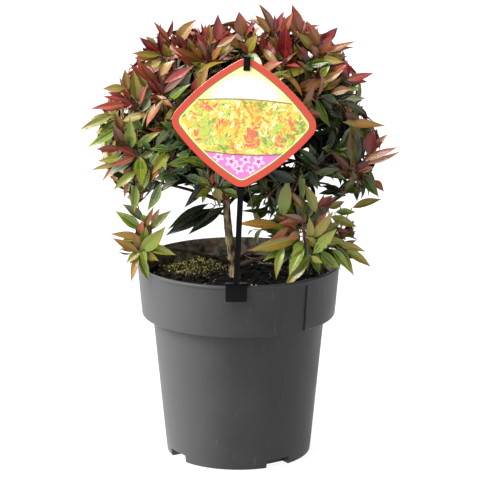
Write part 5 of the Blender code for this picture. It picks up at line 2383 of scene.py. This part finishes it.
def carve(solid: bpy.types.Object, cutters: Sequence[bpy.types.Object]) -> None:
    """Cut solids out of another, apply the cuts and remove the cutters.

    Args:
        solid: The object that is cut.
        cutters: The objects that cut it, which are used up.
    """
    for number, cutter in enumerate(cutters):
        cut = solid.modifiers.new(f"cut_{number}", "BOOLEAN")
        cut.operation = "DIFFERENCE"
        cut.solver = "EXACT"
        cut.object = cutter
    graph = bpy.context.evaluated_depsgraph_get()
    mesh = bpy.data.meshes.new_from_object(solid.evaluated_get(graph))
    solid.modifiers.clear()
    solid.data = mesh
    for cutter in cutters:
        bpy.data.objects.remove(cutter)


@dataclass
class PottingMix:
    """The potting mix: uneven ground with bark chips, white grains, moss and dry twigs."""

    wall_height: float = 174.0 * MM
    crown_height: float = 177.0 * MM
    rings: int = 70
    spokes: int = 150
    chips: int = 420
    grains: int = 130
    tufts: int = 4200
    skirt: float = 12.0 * MM
    wall_gap: float = 0.2 * MM
    panel_gap: float = 0.6 * MM
    panel_side: float = 2.6 * MM
    moss_middle: Vector = field(default_factory=lambda: Vector((-42.0, 50.0, 0.0)) * MM)
    moss_half: Vector = field(default_factory=lambda: Vector((36.0, 44.0, 0.0)) * MM)

    def __post_init__(self) -> None:
        """Read the soil's radius from the frame."""
        low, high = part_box("soil")
        self.radius = (high[0] - low[0]) / 2 - self.wall_gap
        self.panel_face = NurseryPot().panel_inside() - self.panel_gap

    def edge(self, angle: float) -> float:
        """Return how far the ground reaches from the middle at an angle: less behind the flat panels.

        Args:
            angle: The angle round the pot's axis.

        Returns:
            The distance from the axis.
        """
        for azimuth in NurseryPot.panel_azimuths:
            turn = angle - math.radians(azimuth)
            beside = abs(math.sin(turn)) * self.radius
            if math.cos(turn) > 0.0 and beside < NurseryPot.panel_width / 2 + self.panel_side:
                return self.panel_face / math.cos(turn)
        return self.radius

    def height(self, x: float, y: float) -> float:
        """Return the height of the ground at a place.

        Args:
            x: The distance to the right.
            y: The distance to the back.

        Returns:
            The height above the ground.
        """
        away = math.hypot(x, y) / self.radius
        base = mixed(self.crown_height, self.wall_height, min(away, 1.0))
        lumps = noise.noise(Vector((x * 85, y * 85, 0.3))) * 1.7
        crumbs = noise.noise(Vector((x * 260, y * 260, 4.1))) * 1.1
        grit = noise.noise(Vector((x * 700, y * 700, 7.7))) * 0.5
        return base + (lumps + crumbs + grit) * MM

    def mossy(self, x: float, y: float) -> bool:
        """Tell whether moss grows at a place.

        Args:
            x: The distance to the right.
            y: The distance to the back.

        Returns:
            Whether the place is mossy.
        """
        across = (x - self.moss_middle.x) / self.moss_half.x
        along = (y - self.moss_middle.y) / self.moss_half.y
        patches = 0.5 * noise.noise(Vector((x * 110, y * 110, 2.2)))
        patches += 0.75 * noise.noise(Vector((x * 330, y * 330, 5.0)))
        return Vector((across, along)).length + patches < 0.86

    def build(self) -> None:
        """Make the ground and what lies on it."""
        chance = random.Random("potting mix")
        self.ground()
        self.scatter_chips(chance)
        self.scatter_grains(chance)
        self.grow_moss(chance)
        self.dry_twigs()

    def ground(self) -> None:
        """Make the ground's surface."""
        points = [(0.0, 0.0, self.height(0.0, 0.0))]
        for ring in range(1, self.rings + 1):
            for spoke in range(self.spokes):
                angle = 2 * math.pi * spoke / self.spokes
                radius = self.edge(angle) * ring / self.rings
                x, y = radius * math.cos(angle), radius * math.sin(angle)
                points.append((x, y, self.height(x, y)))
        rim = 1 + (self.rings - 1) * self.spokes
        points += [(x, y, self.wall_height - self.skirt) for x, y, _ in points[rim:]]
        faces: Faces = []
        for spoke in range(self.spokes):
            after = (spoke + 1) % self.spokes
            faces.append((0, 1 + spoke, 1 + after))
            for ring in range(self.rings):
                low, high = 1 + ring * self.spokes, 1 + (ring + 1) * self.spokes
                faces.append((low + spoke, high + spoke, high + after, low + after))
        shapes = Shapes()
        shapes.add(np.array(points), faces)
        finish = MoundFinish("dark_potting_mix", linear(3, 3, 3), linear(18, 15, 11), 260.0)
        piece = shapes.piece("potting_mix", [finish.material()], Slot.MIX)
        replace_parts(piece, "soil")

    def spot(self, chance: random.Random) -> tuple[float, float]:
        """Return a place on the ground, clear of the trunk and the wall.

        Args:
            chance: The seeded source of chance.

        Returns:
            The distances to the right and to the back.
        """
        angle = chance.uniform(0.0, 2 * math.pi)
        away = mixed(9 * MM, self.edge(angle) - 4 * MM, math.sqrt(chance.random()))
        return away * math.cos(angle), away * math.sin(angle)

    def lump(
        self, middle: Vector, size: Vector, turn: float, chance: random.Random
    ) -> tuple[np.ndarray, Faces]:
        """Return the points and faces of one rough lump.

        Args:
            middle: Its middle.
            size: Its half sizes.
            turn: Its turn round the upright.
            chance: The seeded source of chance.

        Returns:
            Its points and its faces.
        """
        shape = bmesh.new()
        bmesh.ops.create_icosphere(shape, subdivisions=1, radius=1.0)
        spin = Matrix.Rotation(turn, 3, "Z") @ Matrix.Rotation(chance.uniform(-0.5, 0.5), 3, "X")
        points = []
        for vertex in shape.verts:
            rough = vertex.co * chance.uniform(0.72, 1.12)
            points.append(middle + spin @ Vector((rough.x * size.x, rough.y * size.y, rough.z * size.z)))
        faces = [tuple(corner.index for corner in face.verts) for face in shape.faces]
        shape.free()
        return np.array(points), faces

    def scatter_chips(self, chance: random.Random) -> None:
        """Scatter chips of bark.

        Args:
            chance: The seeded source of chance.
        """
        shapes = Shapes()
        for _ in range(self.chips):
            x, y = self.spot(chance)
            long = chance.uniform(1.4, 4.6)
            size = Vector((long, long * chance.uniform(0.35, 0.8), long * chance.uniform(0.22, 0.5))) * MM
            middle = Vector((x, y, self.height(x, y) + size.z * 0.3))
            shapes.add(*self.lump(middle, size, chance.uniform(0.0, math.pi), chance), chance.randrange(3))
        tones = (((9, 7, 6), (22, 17, 13)), ((24, 17, 12), (58, 42, 30)), ((4, 4, 3), (14, 11, 9)))
        finishes = [
            MoundFinish(f"bark_chip_{number}", linear(*dark), linear(*light), 420.0, 0.85).material()
            for number, (dark, light) in enumerate(tones)
        ]
        shapes.piece("bark_chips", finishes, Slot.MIX, smooth=False)

    def scatter_grains(self, chance: random.Random) -> None:
        """Scatter white grains.

        Args:
            chance: The seeded source of chance.
        """
        shapes = Shapes()
        for _ in range(self.grains):
            x, y = self.spot(chance)
            size = Vector((1.0, 0.9, 0.8)) * chance.uniform(0.35, 1.15) * MM
            shapes.add(*self.lump(Vector((x, y, self.height(x, y) + size.z * 0.5)), size, 0.0, chance))
        finish = MoundFinish("white_grains", linear(168, 162, 146), linear(216, 212, 200), 600.0)
        shapes.piece("white_grains", [finish.material()], Slot.MIX)

    def grow_moss(self, chance: random.Random) -> None:
        """Grow tufts of moss on its patch.

        Args:
            chance: The seeded source of chance.
        """
        shapes = Shapes()
        for _ in range(self.tufts):
            x = self.moss_middle.x + chance.uniform(-1.3, 1.3) * self.moss_half.x
            y = self.moss_middle.y + chance.uniform(-1.3, 1.3) * self.moss_half.y
            if math.hypot(x, y) > self.radius - 3 * MM or not self.mossy(x, y):
                continue
            foot = Vector((x, y, self.height(x, y) - 0.3 * MM))
            rise = Vector((chance.uniform(-0.9, 0.9), chance.uniform(-0.9, 0.9), 1.0)).normalized()
            tall = chance.uniform(0.9, 2.8) * MM
            wide = chance.uniform(0.35, 0.8) * MM
            path = [foot, foot + rise * tall * 0.6, foot + rise * tall]
            shapes.add(*Round(4).rings(path, [wide, wide, wide * 0.3]), chance.randrange(3))
        tones = ((120, 120, 58), (204, 194, 118), (50, 52, 26))
        finishes = [
            MoundFinish(f"moss_{number}", linear(*(c // 2 for c in tone)), linear(*tone), 700.0).material()
            for number, tone in enumerate(tones)
        ]
        shapes.piece("moss", finishes, Slot.MIX)

    def dry_twigs(self) -> None:
        """Lay a few dry twigs on the ground."""
        shapes = Shapes()
        chance = random.Random("dry twigs")
        ends = (((14, 62), (38, 40)), ((-60, 12), (-38, 26)), ((22, 70), (6, 84)), ((48, 30), (66, 44)))
        for (x0, y0), (x1, y1) in ends:
            path = []
            for step in range(8):
                x, y = mixed(x0, x1, step / 7) * MM, mixed(y0, y1, step / 7) * MM
                lift = 1.2 * MM + chance.uniform(0.0, 0.6) * MM
                path.append(Vector((x + chance.uniform(-0.6, 0.6) * MM, y, self.height(x, y) + lift)))
            radii = [mixed(0.8, 0.4, step / 7) * MM for step in range(8)]
            shapes.add(*Round(7).rings(path, radii))
        finish = BarkFinish("dry_twig_bark", linear(88, 66, 46), linear(150, 122, 88), 0.8, 200.0)
        shapes.piece("dry_twigs", [finish.material()], Slot.BARK)


@dataclass
class PictureLabel:
    """The label: a rounded diamond of card, printed with a plain border, leafy shoots and flowers."""

    width: float = 132.0 * MM
    tall: float = 122.0 * MM
    corner: float = 14.0 * MM
    side_turn: float = math.radians(22.0)
    thickness: float = 0.8 * MM
    layer: float = 0.016 * MM
    leaf_half: float = 0.19
    leaf_pairs: int = 4
    small_leaves: int = 900
    leaf_level: float = 4.0
    leaf_rise: float = 0.02
    line_level: float = 40.0
    line_half: float = 0.4 * MM
    shoot_rows: int = 5
    shoot_columns: int = 10
    shoot_step: float = 11.0
    border: float = 5.4 * MM
    line: float = 1.1 * MM
    edge_line: float = 1.0 * MM
    gap: float = 0.3 * MM

    INKS = {
        "orange_red": (198, 58, 34),
        "grey_line": (98, 108, 82),
        "pale_yellow": (240, 230, 142),
        "yellow": (228, 210, 96),
        "straw": (242, 236, 168),
        "ivory": (244, 240, 198),
        "cream": (246, 243, 224),
        "lime": (180, 200, 84),
        "leaf_green": (124, 162, 74),
        "gold": (248, 194, 72),
        "tangerine": (244, 146, 66),
        "coral": (238, 108, 82),
        "blossom": (234, 118, 190),
        "pink": (248, 198, 228),
        "magenta": (196, 62, 146),
        "card_back": (226, 222, 210),
    }

    SHOOT_INKS = (
        ("tangerine", "gold"), ("coral", "tangerine"), ("gold", "straw"), ("tangerine", "yellow"),
        ("lime", "straw"), ("leaf_green", "lime"), ("coral", "gold"), ("lime", "yellow"),
    )

    def __post_init__(self) -> None:
        """Work out where the label hangs on its stem."""
        form = CrownForm()
        self.foot, self.top = form.stem_foot, form.stem_top
        self.shapes = Shapes()
        self.inks = list(self.INKS)

    def placing(self) -> Matrix:
        """Return the frame of the card: X to the right, Y up the card, Z out of its face.

        Returns:
            The matrix from the card's own frame to the world.
        """
        along = (self.top - self.foot).normalized()
        right = Vector((0.0, 1.0, 0.0)).cross(along).normalized()
        back = along.cross(right).normalized()
        turn = Matrix((right, along, -back)).transposed().to_4x4()
        middle_height = self.top.z - self.tall / 2 + 1.0 * MM
        share = (middle_height - self.foot.z) / (self.top.z - self.foot.z)
        forward = LabelStem.depth / 2 + self.gap + self.thickness / 2
        return Matrix.Translation(self.foot.lerp(self.top, share) - back * forward) @ turn

    def outline(self, inset: float, steps: int = 14) -> list[Vector]:
        """Walk the card's outline, a distance inside its edge.

        Args:
            inset: How far inside the edge.
            steps: How many points each of its eight arcs has.

        Returns:
            The outline's points, against the clock from the right corner.
        """
        half_wide = self.width / 2 - self.corner
        half_tall = self.tall / 2 - self.corner
        middle = math.atan2(half_wide, half_tall)
        start, end = middle - self.side_turn / 2, middle + self.side_turn / 2
        bow = self.corner + half_wide / (math.cos(start) - math.cos(end))
        away = self.corner - bow
        quarter = []
        arcs = (
            ((half_wide, 0.0), self.corner, 0.0, start),
            ((away * math.cos(start) + half_wide, away * math.sin(start)), bow, start, end),
            ((0.0, half_tall), self.corner, end, math.pi / 2),
        )
        for (x, y), radius, first, last in arcs:
            for step in range(steps):
                angle = mixed(first, last, step / steps)
                reach = max(radius - inset, 0.2 * MM)
                quarter.append(Vector((x + reach * math.cos(angle), y + reach * math.sin(angle))))
        quarter.append(Vector((0.0, self.tall / 2 - inset)))
        right_top = quarter
        left_top = [Vector((-p.x, p.y)) for p in reversed(quarter[:-1])]
        left_bottom = [Vector((-p.x, -p.y)) for p in quarter[1:]]
        right_bottom = [Vector((p.x, -p.y)) for p in reversed(quarter[1:-1])]
        return [*right_top, *left_top, *left_bottom, *right_bottom]

    def flat(self, points: Sequence[Vector], ink: str, level: float, front: bool = True) -> None:
        """Print one filled shape on the card.

        Args:
            points: Its outline, against the clock.
            ink: The ink's name.
            level: How many layers it lies above the card's face.
            front: Whether it is on the front.
        """
        height = self.thickness / 2 + level * self.layer
        middle = sum(points, Vector((0.0, 0.0))) / len(points)
        side = 1.0 if front else -1.0
        rows = np.array([(p.x, p.y, side * height) for p in [middle, *points]])
        count = len(points)
        faces = [(0, 1 + n, 1 + (n + 1) % count) for n in range(count)]
        if not front:
            faces = [tuple(reversed(face)) for face in faces]
        self.shapes.add(rows, faces, self.inks.index(ink))

    def zone(
        self, outline: Sequence[Vector], low: Callable[[float], float], high: Callable[[float], float]
    ) -> list[Vector]:
        """Return the part of an outline between two curves of x.

        Args:
            outline: The whole outline.
            low: The lower curve.
            high: The upper curve.

        Returns:
            The upper edge from the right, then the lower edge from the left.
        """
        columns = 120
        widest = max(point.x for point in outline)
        upper, lower = [], []
        for column in range(columns + 1):
            x = mixed(widest, -widest, column / columns) * 0.998
            top, bottom = self.span_at(outline, x)
            top, bottom = min(top, high(x)), max(bottom, low(x))
            if top > bottom:
                upper.append(Vector((x, top)))
                lower.append(Vector((x, bottom)))
        return upper + lower[::-1]

    def span_at(self, outline: Sequence[Vector], x: float) -> tuple[float, float]:
        """Return the highest and lowest point of a closed outline at x.

        Args:
            outline: The outline.
            x: The distance to the right of the card's middle.

        Returns:
            The two heights.
        """
        crossings = []
        for a, b in zip(outline, [*outline[1:], outline[0]]):
            if (a.x - x) * (b.x - x) <= 0 and a.x != b.x:
                crossings.append(mixed(a.y, b.y, (x - a.x) / (b.x - a.x)))
        return max(crossings), min(crossings)

    def upper_line(self, x: float) -> float:
        """Return the height of the line between the upper and the middle field."""
        return 15.0 * MM + 8.0 * MM * math.cos(x / (52.0 * MM))

    def lower_line(self, x: float) -> float:
        """Return the height of the line between the middle and the lower field."""
        return -24.0 * MM - 6.0 * MM * math.cos(x / (40.0 * MM))

    def leaf(self, root: Vector, angle: float, length: float, ink: str, level: float) -> None:
        """Print one slender pointed leaf, shortened or left out where it would leave the middle field.

        Args:
            root: Where the leaf starts.
            angle: The direction in which it runs.
            length: Its full length.
            ink: The ink's name.
            level: How many layers it lies above the card's face.
        """
        way = Vector((math.cos(angle), math.sin(angle)))
        shares = (1.0, 0.75, 0.5)
        lengths = [length * share for share in shares if self.in_middle_field(root + way * length * share)]
        if not (lengths and self.in_middle_field(root)):
            return
        length = lengths[0]
        side = Vector((-way.y, way.x))
        right, left = [], []
        for step in range(9):
            t = step / 8
            half = length * self.leaf_half * math.sin(math.pi * t**0.8)
            right.append(root + way * length * t - side * half)
            left.append(root + way * length * t + side * half)
        self.flat([*right, *left[-2:0:-1]], ink, level)

    def in_middle_field(self, spot: Vector, margin: float = 0.4 * MM) -> bool:
        """Tell whether a point of the card lies in the field between the two curved lines.

        Args:
            spot: The point.
            margin: How far inside the lines it has to be.

        Returns:
            Whether it lies there.
        """
        if abs(spot.x) > self.field_half:
            return False
        top, bottom = self.span_at(self.field_edge, spot.x)
        low, high = max(bottom, self.lower_line(spot.x)), min(top, self.upper_line(spot.x))
        return low + margin < spot.y < high - margin

    def scattered(self, chance: random.Random) -> None:
        """Print small leaves that point all ways over the middle field.

        Args:
            chance: The seeded source of chance.
        """
        inks = ("lime", "leaf_green", "gold", "straw", "yellow", "lime", "tangerine", "ivory", "yellow")
        for number in range(self.small_leaves):
            spot = Vector((chance.uniform(-1, 1) * self.field_half, chance.uniform(-30, 23) * MM))
            angle, length = chance.uniform(0.0, 2 * math.pi), chance.uniform(4.0, 7.5) * MM
            if self.in_middle_field(spot):
                level = self.leaf_level + number * self.leaf_rise
                self.leaf(spot, angle, length, chance.choice(inks), level)

    def shoot(
        self, foot: Vector, angle: float, length: float, chance: random.Random, level: float
    ) -> None:
        """Print a bent shoot with pairs of leaves and one leaf at its end.

        Args:
            foot: Where it starts.
            angle: The direction in which it starts.
            length: How far it runs.
            chance: The seeded source of chance.
            level: The layer of its first leaf.
        """
        lead, light = chance.choice(self.SHOOT_INKS)
        bend = chance.uniform(-0.6, 0.6)
        spot = foot
        for number in range(self.leaf_pairs + 1):
            share = number / self.leaf_pairs
            way = angle + bend * share
            spread = mixed(1.0, 0.5, share) * chance.uniform(0.85, 1.15)
            for side in (-spread, spread) if number < self.leaf_pairs else (0.0,):
                size = length * mixed(0.46, 0.36, share) * chance.uniform(0.8, 1.15)
                self.leaf(spot, way + side, size, lead if chance.random() < 0.6 else light, level)
                level += self.leaf_rise
            spot = spot + Vector((math.cos(way), math.sin(way))) * length / (self.leaf_pairs + 1)

    def build(self) -> None:
        """Make the card and its print."""
        edge = self.outline(0.0)
        count = len(edge)
        half = self.thickness / 2
        rim = np.array([(p.x, p.y, z) for z in (half, -half) for p in edge])
        sides = [(n, (n + 1) % count, count + (n + 1) % count, count + n) for n in range(count)]
        self.shapes.add(rim, [tuple(reversed(face)) for face in sides], self.inks.index("cream"))
        self.flat(edge, "orange_red", 0.0)
        self.flat(edge, "card_back", 0.0, front=False)
        self.flat(self.outline(self.border), "grey_line", 1.0)
        inner = self.outline(self.border + self.line)
        self.flat(inner, "pale_yellow", 2.0)
        field_edge = self.outline(self.border + self.line + self.edge_line)
        self.field_edge = field_edge
        self.field_half = max(point.x for point in field_edge) - 0.5 * MM
        beyond = self.tall
        self.flat(self.zone(field_edge, self.upper_line, lambda x: beyond), "yellow", 3.0)
        self.glow(field_edge)
        self.flat(self.zone(field_edge, self.lower_line, self.upper_line), "yellow", 3.0)
        self.flat(self.zone(field_edge, lambda x: -beyond, self.lower_line), "blossom", 3.0)
        self.shoots()
        self.petals()
        self.lines(field_edge)
        piece = self.shapes.piece("picture_label", self.print_finishes(), Slot.CARD, smooth=False)
        piece.matrix_world = self.placing()
        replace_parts(piece, "label")

    def print_finishes(self) -> list[bpy.types.Material]:
        """Return the printed card in each ink."""
        return [PrintedCard(f"print_{ink}", linear(*rgb)).material() for ink, rgb in self.INKS.items()]

    def glow(self, field_edge: Sequence[Vector]) -> None:
        """Print the pale middle of the upper field, in steps.

        Args:
            field_edge: The outline of the printed field.
        """
        for number, ink in enumerate(("pale_yellow", "straw", "ivory", "cream")):
            reach = mixed(42.0, 26.0, number / 3) * MM
            middle = Vector((0.0, 26.0 * MM))
            ring = []
            for step in range(64):
                angle = 2 * math.pi * step / 64
                spot = middle + Vector((math.cos(angle), math.sin(angle) * 0.62)) * reach
                high, _ = self.span_at(field_edge, spot.x)
                ring.append(Vector((spot.x, min(max(spot.y, self.upper_line(spot.x)), high))))
            self.flat(ring, ink, 4.0 + number)

    def lines(self, field_edge: Sequence[Vector]) -> None:
        """Print the thin curved lines between the fields.

        Args:
            field_edge: The outline of the printed field.
        """
        for curve in (self.upper_line, self.lower_line):
            strip = self.zone(
                field_edge,
                lambda x, line=curve: line(x) - self.line_half,
                lambda x, line=curve: line(x) + self.line_half,
            )
            self.flat_strip(strip, "grey_line", self.line_level)

    def flat_strip(self, points: Sequence[Vector], ink: str, level: float) -> None:
        """Print a thin strip whose upper and lower edges have as many points.

        Args:
            points: The upper edge, then the lower edge back.
            ink: The ink's name.
            level: How many layers it lies above the card's face.
        """
        height = self.thickness / 2 + level * self.layer
        rows = np.array([(p.x, p.y, height) for p in points])
        count = len(points)
        faces = [(n, n + 1, count - 2 - n, count - 1 - n) for n in range(count // 2 - 1)]
        self.shapes.add(rows, faces, self.inks.index(ink))

    def shoots(self) -> None:
        """Print the middle field: scattered leaves, then rows of shoots, the lower ones in front."""
        chance = random.Random("printed leaves")
        self.scattered(chance)
        level = self.leaf_level + self.small_leaves * self.leaf_rise
        middle = (self.shoot_columns - 1) / 2
        for row in range(self.shoot_rows):
            height = mixed(11.0, -31.0, row / (self.shoot_rows - 1))
            for column in range(self.shoot_columns):
                x = (column - middle + 0.5 * (row % 2)) * self.shoot_step + chance.uniform(-2.6, 2.6)
                foot = Vector((x, height + chance.uniform(-2.4, 2.4))) * MM
                level += 0.3
                angle = math.pi / 2 + chance.uniform(-0.9, 0.9)
                self.shoot(foot, angle, chance.uniform(14.0, 19.0) * MM, chance, level)

    def petals(self) -> None:
        """Print five-petalled flowers over the lower field."""
        chance = random.Random("printed flowers")
        spots = (
            (-22, -33, 5.4), (-10, -37, 6.4), (3, -34.5, 5.6),
            (15, -36, 6.2), (-3, -43.5, 5.6), (8, -44, 4.6),
        )
        for number, (x, y, reach) in enumerate(spots):
            middle = Vector((x, y)) * MM
            turn = chance.uniform(0.0, 2 * math.pi)
            for far, ink, level in ((reach, "pink", 4.0), (reach * 0.4, "magenta", 4.6)):
                ring = []
                for step in range(40):
                    angle = 2 * math.pi * step / 40
                    out = far * MM * (0.76 + 0.24 * math.cos(5 * angle + turn))
                    ring.append(middle + Vector((math.cos(angle), math.sin(angle))) * out)
                self.flat(ring, ink, level + number * 0.1)


@dataclass
class LabelStem:
    """The black stem: a clip over the rim, two flanges with a web, a collar, and a hook for the card."""

    width: float = 5.4 * MM
    depth: float = 3.6 * MM
    clip_width: float = 20.0 * MM
    clip_drop: float = 14.5 * MM
    clip_plate: float = 2.4 * MM
    clip_reach: float = 3.0 * MM
    collar_width: float = 7.4 * MM
    collar_length: float = 7.0 * MM
    hook_width: float = 6.0 * MM
    hook_drop: float = 10.5 * MM
    hook_plate: float = 1.2 * MM
    flange: float = 1.4 * MM
    rounding: float = 0.35 * MM
    gap: float = 0.3 * MM

    def placing(self) -> Matrix:
        """Return the frame of the stem's foot: Z along the stem and Y to the back.

        Returns:
            The matrix from the stem's own frame to the world.
        """
        form = CrownForm()
        along = (form.stem_top - form.stem_foot).normalized()
        right = Vector((0.0, 1.0, 0.0)).cross(along).normalized()
        back = along.cross(right).normalized()
        return Matrix.Translation(form.stem_foot) @ Matrix((right, back, along)).transposed().to_4x4()

    def bars(self, length: float) -> Iterator[tuple[Vector, Vector]]:
        """Yield the corners of each straight part of the stem, in its own frame.

        Args:
            length: The stem's length from the rim to the hook.

        Returns:
            The lowest and highest corner of each part.
        """
        half_wide, half_deep = self.width / 2, self.depth / 2
        flange = self.flange
        rise = length + 2.4 * MM
        yield Vector((-half_wide, -half_deep, -1 * MM)), Vector((-half_wide + flange, half_deep, rise))
        yield Vector((half_wide - flange, -half_deep, -1 * MM)), Vector((half_wide, half_deep, rise))
        web = half_wide - flange / 2
        yield Vector((-web, -half_deep + 1 * MM, -1 * MM)), Vector((web, half_deep - 1 * MM, rise))
        collar = length - PictureLabel.tall - 8 * MM
        wide, deep = self.collar_width / 2, half_deep + 1 * MM
        yield Vector((-wide, -deep, collar)), Vector((wide, deep, collar + self.collar_length))
        front = -half_deep - self.gap * 2 - PictureLabel.thickness
        wide = self.hook_width / 2
        lid = length + 1.4 * MM
        face, cap = front - self.hook_plate, lid + self.hook_plate
        yield Vector((-wide, face, lid)), Vector((wide, half_deep, cap))
        yield Vector((-wide, face, length - self.hook_drop)), Vector((wide, front, cap))

    def clip(self) -> Iterator[tuple[Vector, Vector]]:
        """Yield the corners of each plate of the clip over the pot's rim.

        Returns:
            The lowest and highest corner of each plate.
        """
        low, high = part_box("pot")
        rim = (high[0] - low[0]) / 2
        across = CrownForm().stem_foot.x
        left, right = across - self.clip_width / 2, across + self.clip_width / 2
        outer = -rim - self.gap
        top = high[2] + self.gap
        back = -rim + NurseryPot.wall + self.clip_reach
        face, inner = outer - self.clip_plate, back + self.clip_plate
        foot, cap = top - self.clip_drop, top + self.clip_plate
        yield Vector((left, face, foot)), Vector((right, outer, cap))
        yield Vector((left, face, top)), Vector((right, inner, cap))
        yield Vector((left, back, foot + 2 * MM)), Vector((right, inner, cap))

    def build(self) -> None:
        """Make the stem and the green tab behind its hook."""
        form = CrownForm()
        length = (form.stem_top - form.stem_foot).length
        placing = self.placing()
        shapes = Shapes()
        for low, high in self.bars(length):
            shapes.add(*rounded_box(low, high, self.rounding, placing))
        for low, high in self.clip():
            shapes.add(*rounded_box(low, high, self.rounding, Matrix()))
        finish = MouldedPlastic("black_plastic", linear(5, 5, 6), 0.3)
        piece = shapes.piece("label_stem_moulding", [finish.material()], Slot.STEM)
        sharpened(piece, 50.0)
        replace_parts(piece, "label_stem")
        tab = Shapes()
        low = Vector((self.hook_width / 2 - 1.2 * MM, -self.depth / 2, length - 6 * MM))
        high = Vector((self.hook_width / 2 + 3.2 * MM, self.depth / 2 - 1.4 * MM, length + 2.2 * MM))
        tab.add(*rounded_box(low, high, self.rounding, placing))
        green = MouldedPlastic("green_plastic", linear(40, 168, 84))
        sharpened(tab.piece("green_tab", [green.material()], Slot.STEM), 50.0)


def rounded_box(low: Vector, high: Vector, radius: float, placing: Matrix) -> tuple[np.ndarray, Faces]:
    """Return the points and faces of a box with rounded edges.

    Args:
        low: Its lowest corner.
        high: Its highest corner.
        radius: The radius of its edges.
        placing: The matrix that moves it.

    Returns:
        Its points and its faces.
    """
    shape = bmesh.new()
    bmesh.ops.create_cube(shape, size=1.0)
    stretch = Matrix.Translation((low + high) / 2) @ Matrix.Diagonal(high - low).to_4x4()
    bmesh.ops.transform(shape, matrix=stretch, verts=shape.verts)
    radius = min(radius, min(high - low) * 0.45)
    bmesh.ops.bevel(shape, geom=list(shape.edges), offset=radius, segments=3, profile=0.5, affect="EDGES")
    bmesh.ops.transform(shape, matrix=placing, verts=shape.verts)
    shape.verts.index_update()
    points = np.array([vertex.co for vertex in shape.verts])
    faces = [tuple(corner.index for corner in face.verts) for face in shape.faces]
    shape.free()
    return points, faces


@dataclass
class Studio:
    """A pale floor, soft light mostly from the left, and the camera at the photograph's viewing angle."""

    camera_place: tuple[float, float, float] = (0.0014, -2.1974, 0.7493)
    pitch: float = 0.2394
    focal: float = 173.26
    sensor: float = 36.0
    floor_half: float = 30.0
    floor_tone: Colour = (0.15, 0.15, 0.15)
    floor_glow: float = 0.93
    bright_side: Vector = field(default_factory=lambda: Vector((-0.9, 0.2, 0.35)).normalized())
    sky_turn: tuple[float, float] = (-0.02, 0.6)
    sky_light: tuple[float, float] = (0.14, 2.6)
    sun_from: Vector = field(default_factory=lambda: Vector((-1.35, -0.75, 1.3)))
    sun_power: float = 3.9
    sun_angle: float = math.radians(30.0)

    def build(self) -> None:
        """Make the floor, the lights and the camera."""
        self.floor()
        self.sky()
        self.sun()
        self.aim_camera()

    def floor(self) -> None:
        """Lay the floor."""
        half = self.floor_half
        mesh = bpy.data.meshes.new("floor")
        corners = [(-half, -half, 0.0), (half, -half, 0.0), (half, half, 0.0), (-half, half, 0.0)]
        mesh.from_pydata(corners, [], [(0, 1, 2, 3)])
        graph = Graph("pale_floor")
        graph.constant(base_color=self.floor_tone, roughness=0.8, specular_ior_level=0.1)
        graph.constant(emission_color=(1.0, 1.0, 1.0), emission_strength=self.floor_glow)
        mesh.materials.append(graph.material)
        floor = bpy.data.objects.new("floor", mesh)
        bpy.context.scene.collection.objects.link(floor)

    def sky(self) -> None:
        """Light everything from all round, most from the left and the back."""
        world = bpy.data.worlds.new("studio")
        world.use_nodes = True
        tree = world.node_tree
        backdrop = tree.nodes["Background"]
        backdrop.inputs["Color"].default_value = (1.0, 1.0, 1.0, 1.0)
        place = tree.nodes.new("ShaderNodeTexCoord")
        facing = tree.nodes.new("ShaderNodeVectorMath")
        facing.operation = "DOT_PRODUCT"
        facing.inputs[1].default_value = self.bright_side
        fall = tree.nodes.new("ShaderNodeMapRange")
        limits = (*self.sky_turn, *self.sky_light)
        for name, number in zip(("From Min", "From Max", "To Min", "To Max"), limits):
            fall.inputs[name].default_value = number
        tree.links.new(place.outputs["Generated"], facing.inputs[0])
        tree.links.new(facing.outputs["Value"], fall.inputs["Value"])
        tree.links.new(fall.outputs["Result"], backdrop.inputs["Strength"])
        bpy.context.scene.world = world

    def sun(self) -> None:
        """Shine one soft light from the left, in front."""
        light = bpy.data.lights.new("soft_sun", "SUN")
        light.energy = self.sun_power
        light.angle = self.sun_angle
        hung = bpy.data.objects.new("soft_sun", light)
        hung.rotation_euler = self.sun_from.to_track_quat("Z", "Y").to_euler()
        bpy.context.scene.collection.objects.link(hung)

    def aim_camera(self) -> None:
        """Set the camera."""
        data = bpy.data.cameras.new("camera")
        data.lens = self.focal
        data.sensor_width = self.sensor
        camera = bpy.data.objects.new("camera", data)
        camera.location = self.camera_place
        camera.rotation_euler = (math.pi / 2 - self.pitch, 0.0, 0.0)
        bpy.context.scene.collection.objects.link(camera)
        bpy.context.scene.camera = camera


def main() -> None:
    """Build every piece in order."""
    logging.basicConfig(level=logging.INFO, format="%(name)s: %(message)s")
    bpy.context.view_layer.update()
    bpy.context.scene.view_settings.view_transform = "Standard"
    for part in (Studio(), NurseryPot(), PottingMix(), Bark(), Foliage(), PictureLabel(), LabelStem()):
        part.build()
        LOG.info("built %s", type(part).__name__)


if __name__ == "__main__":
    main()
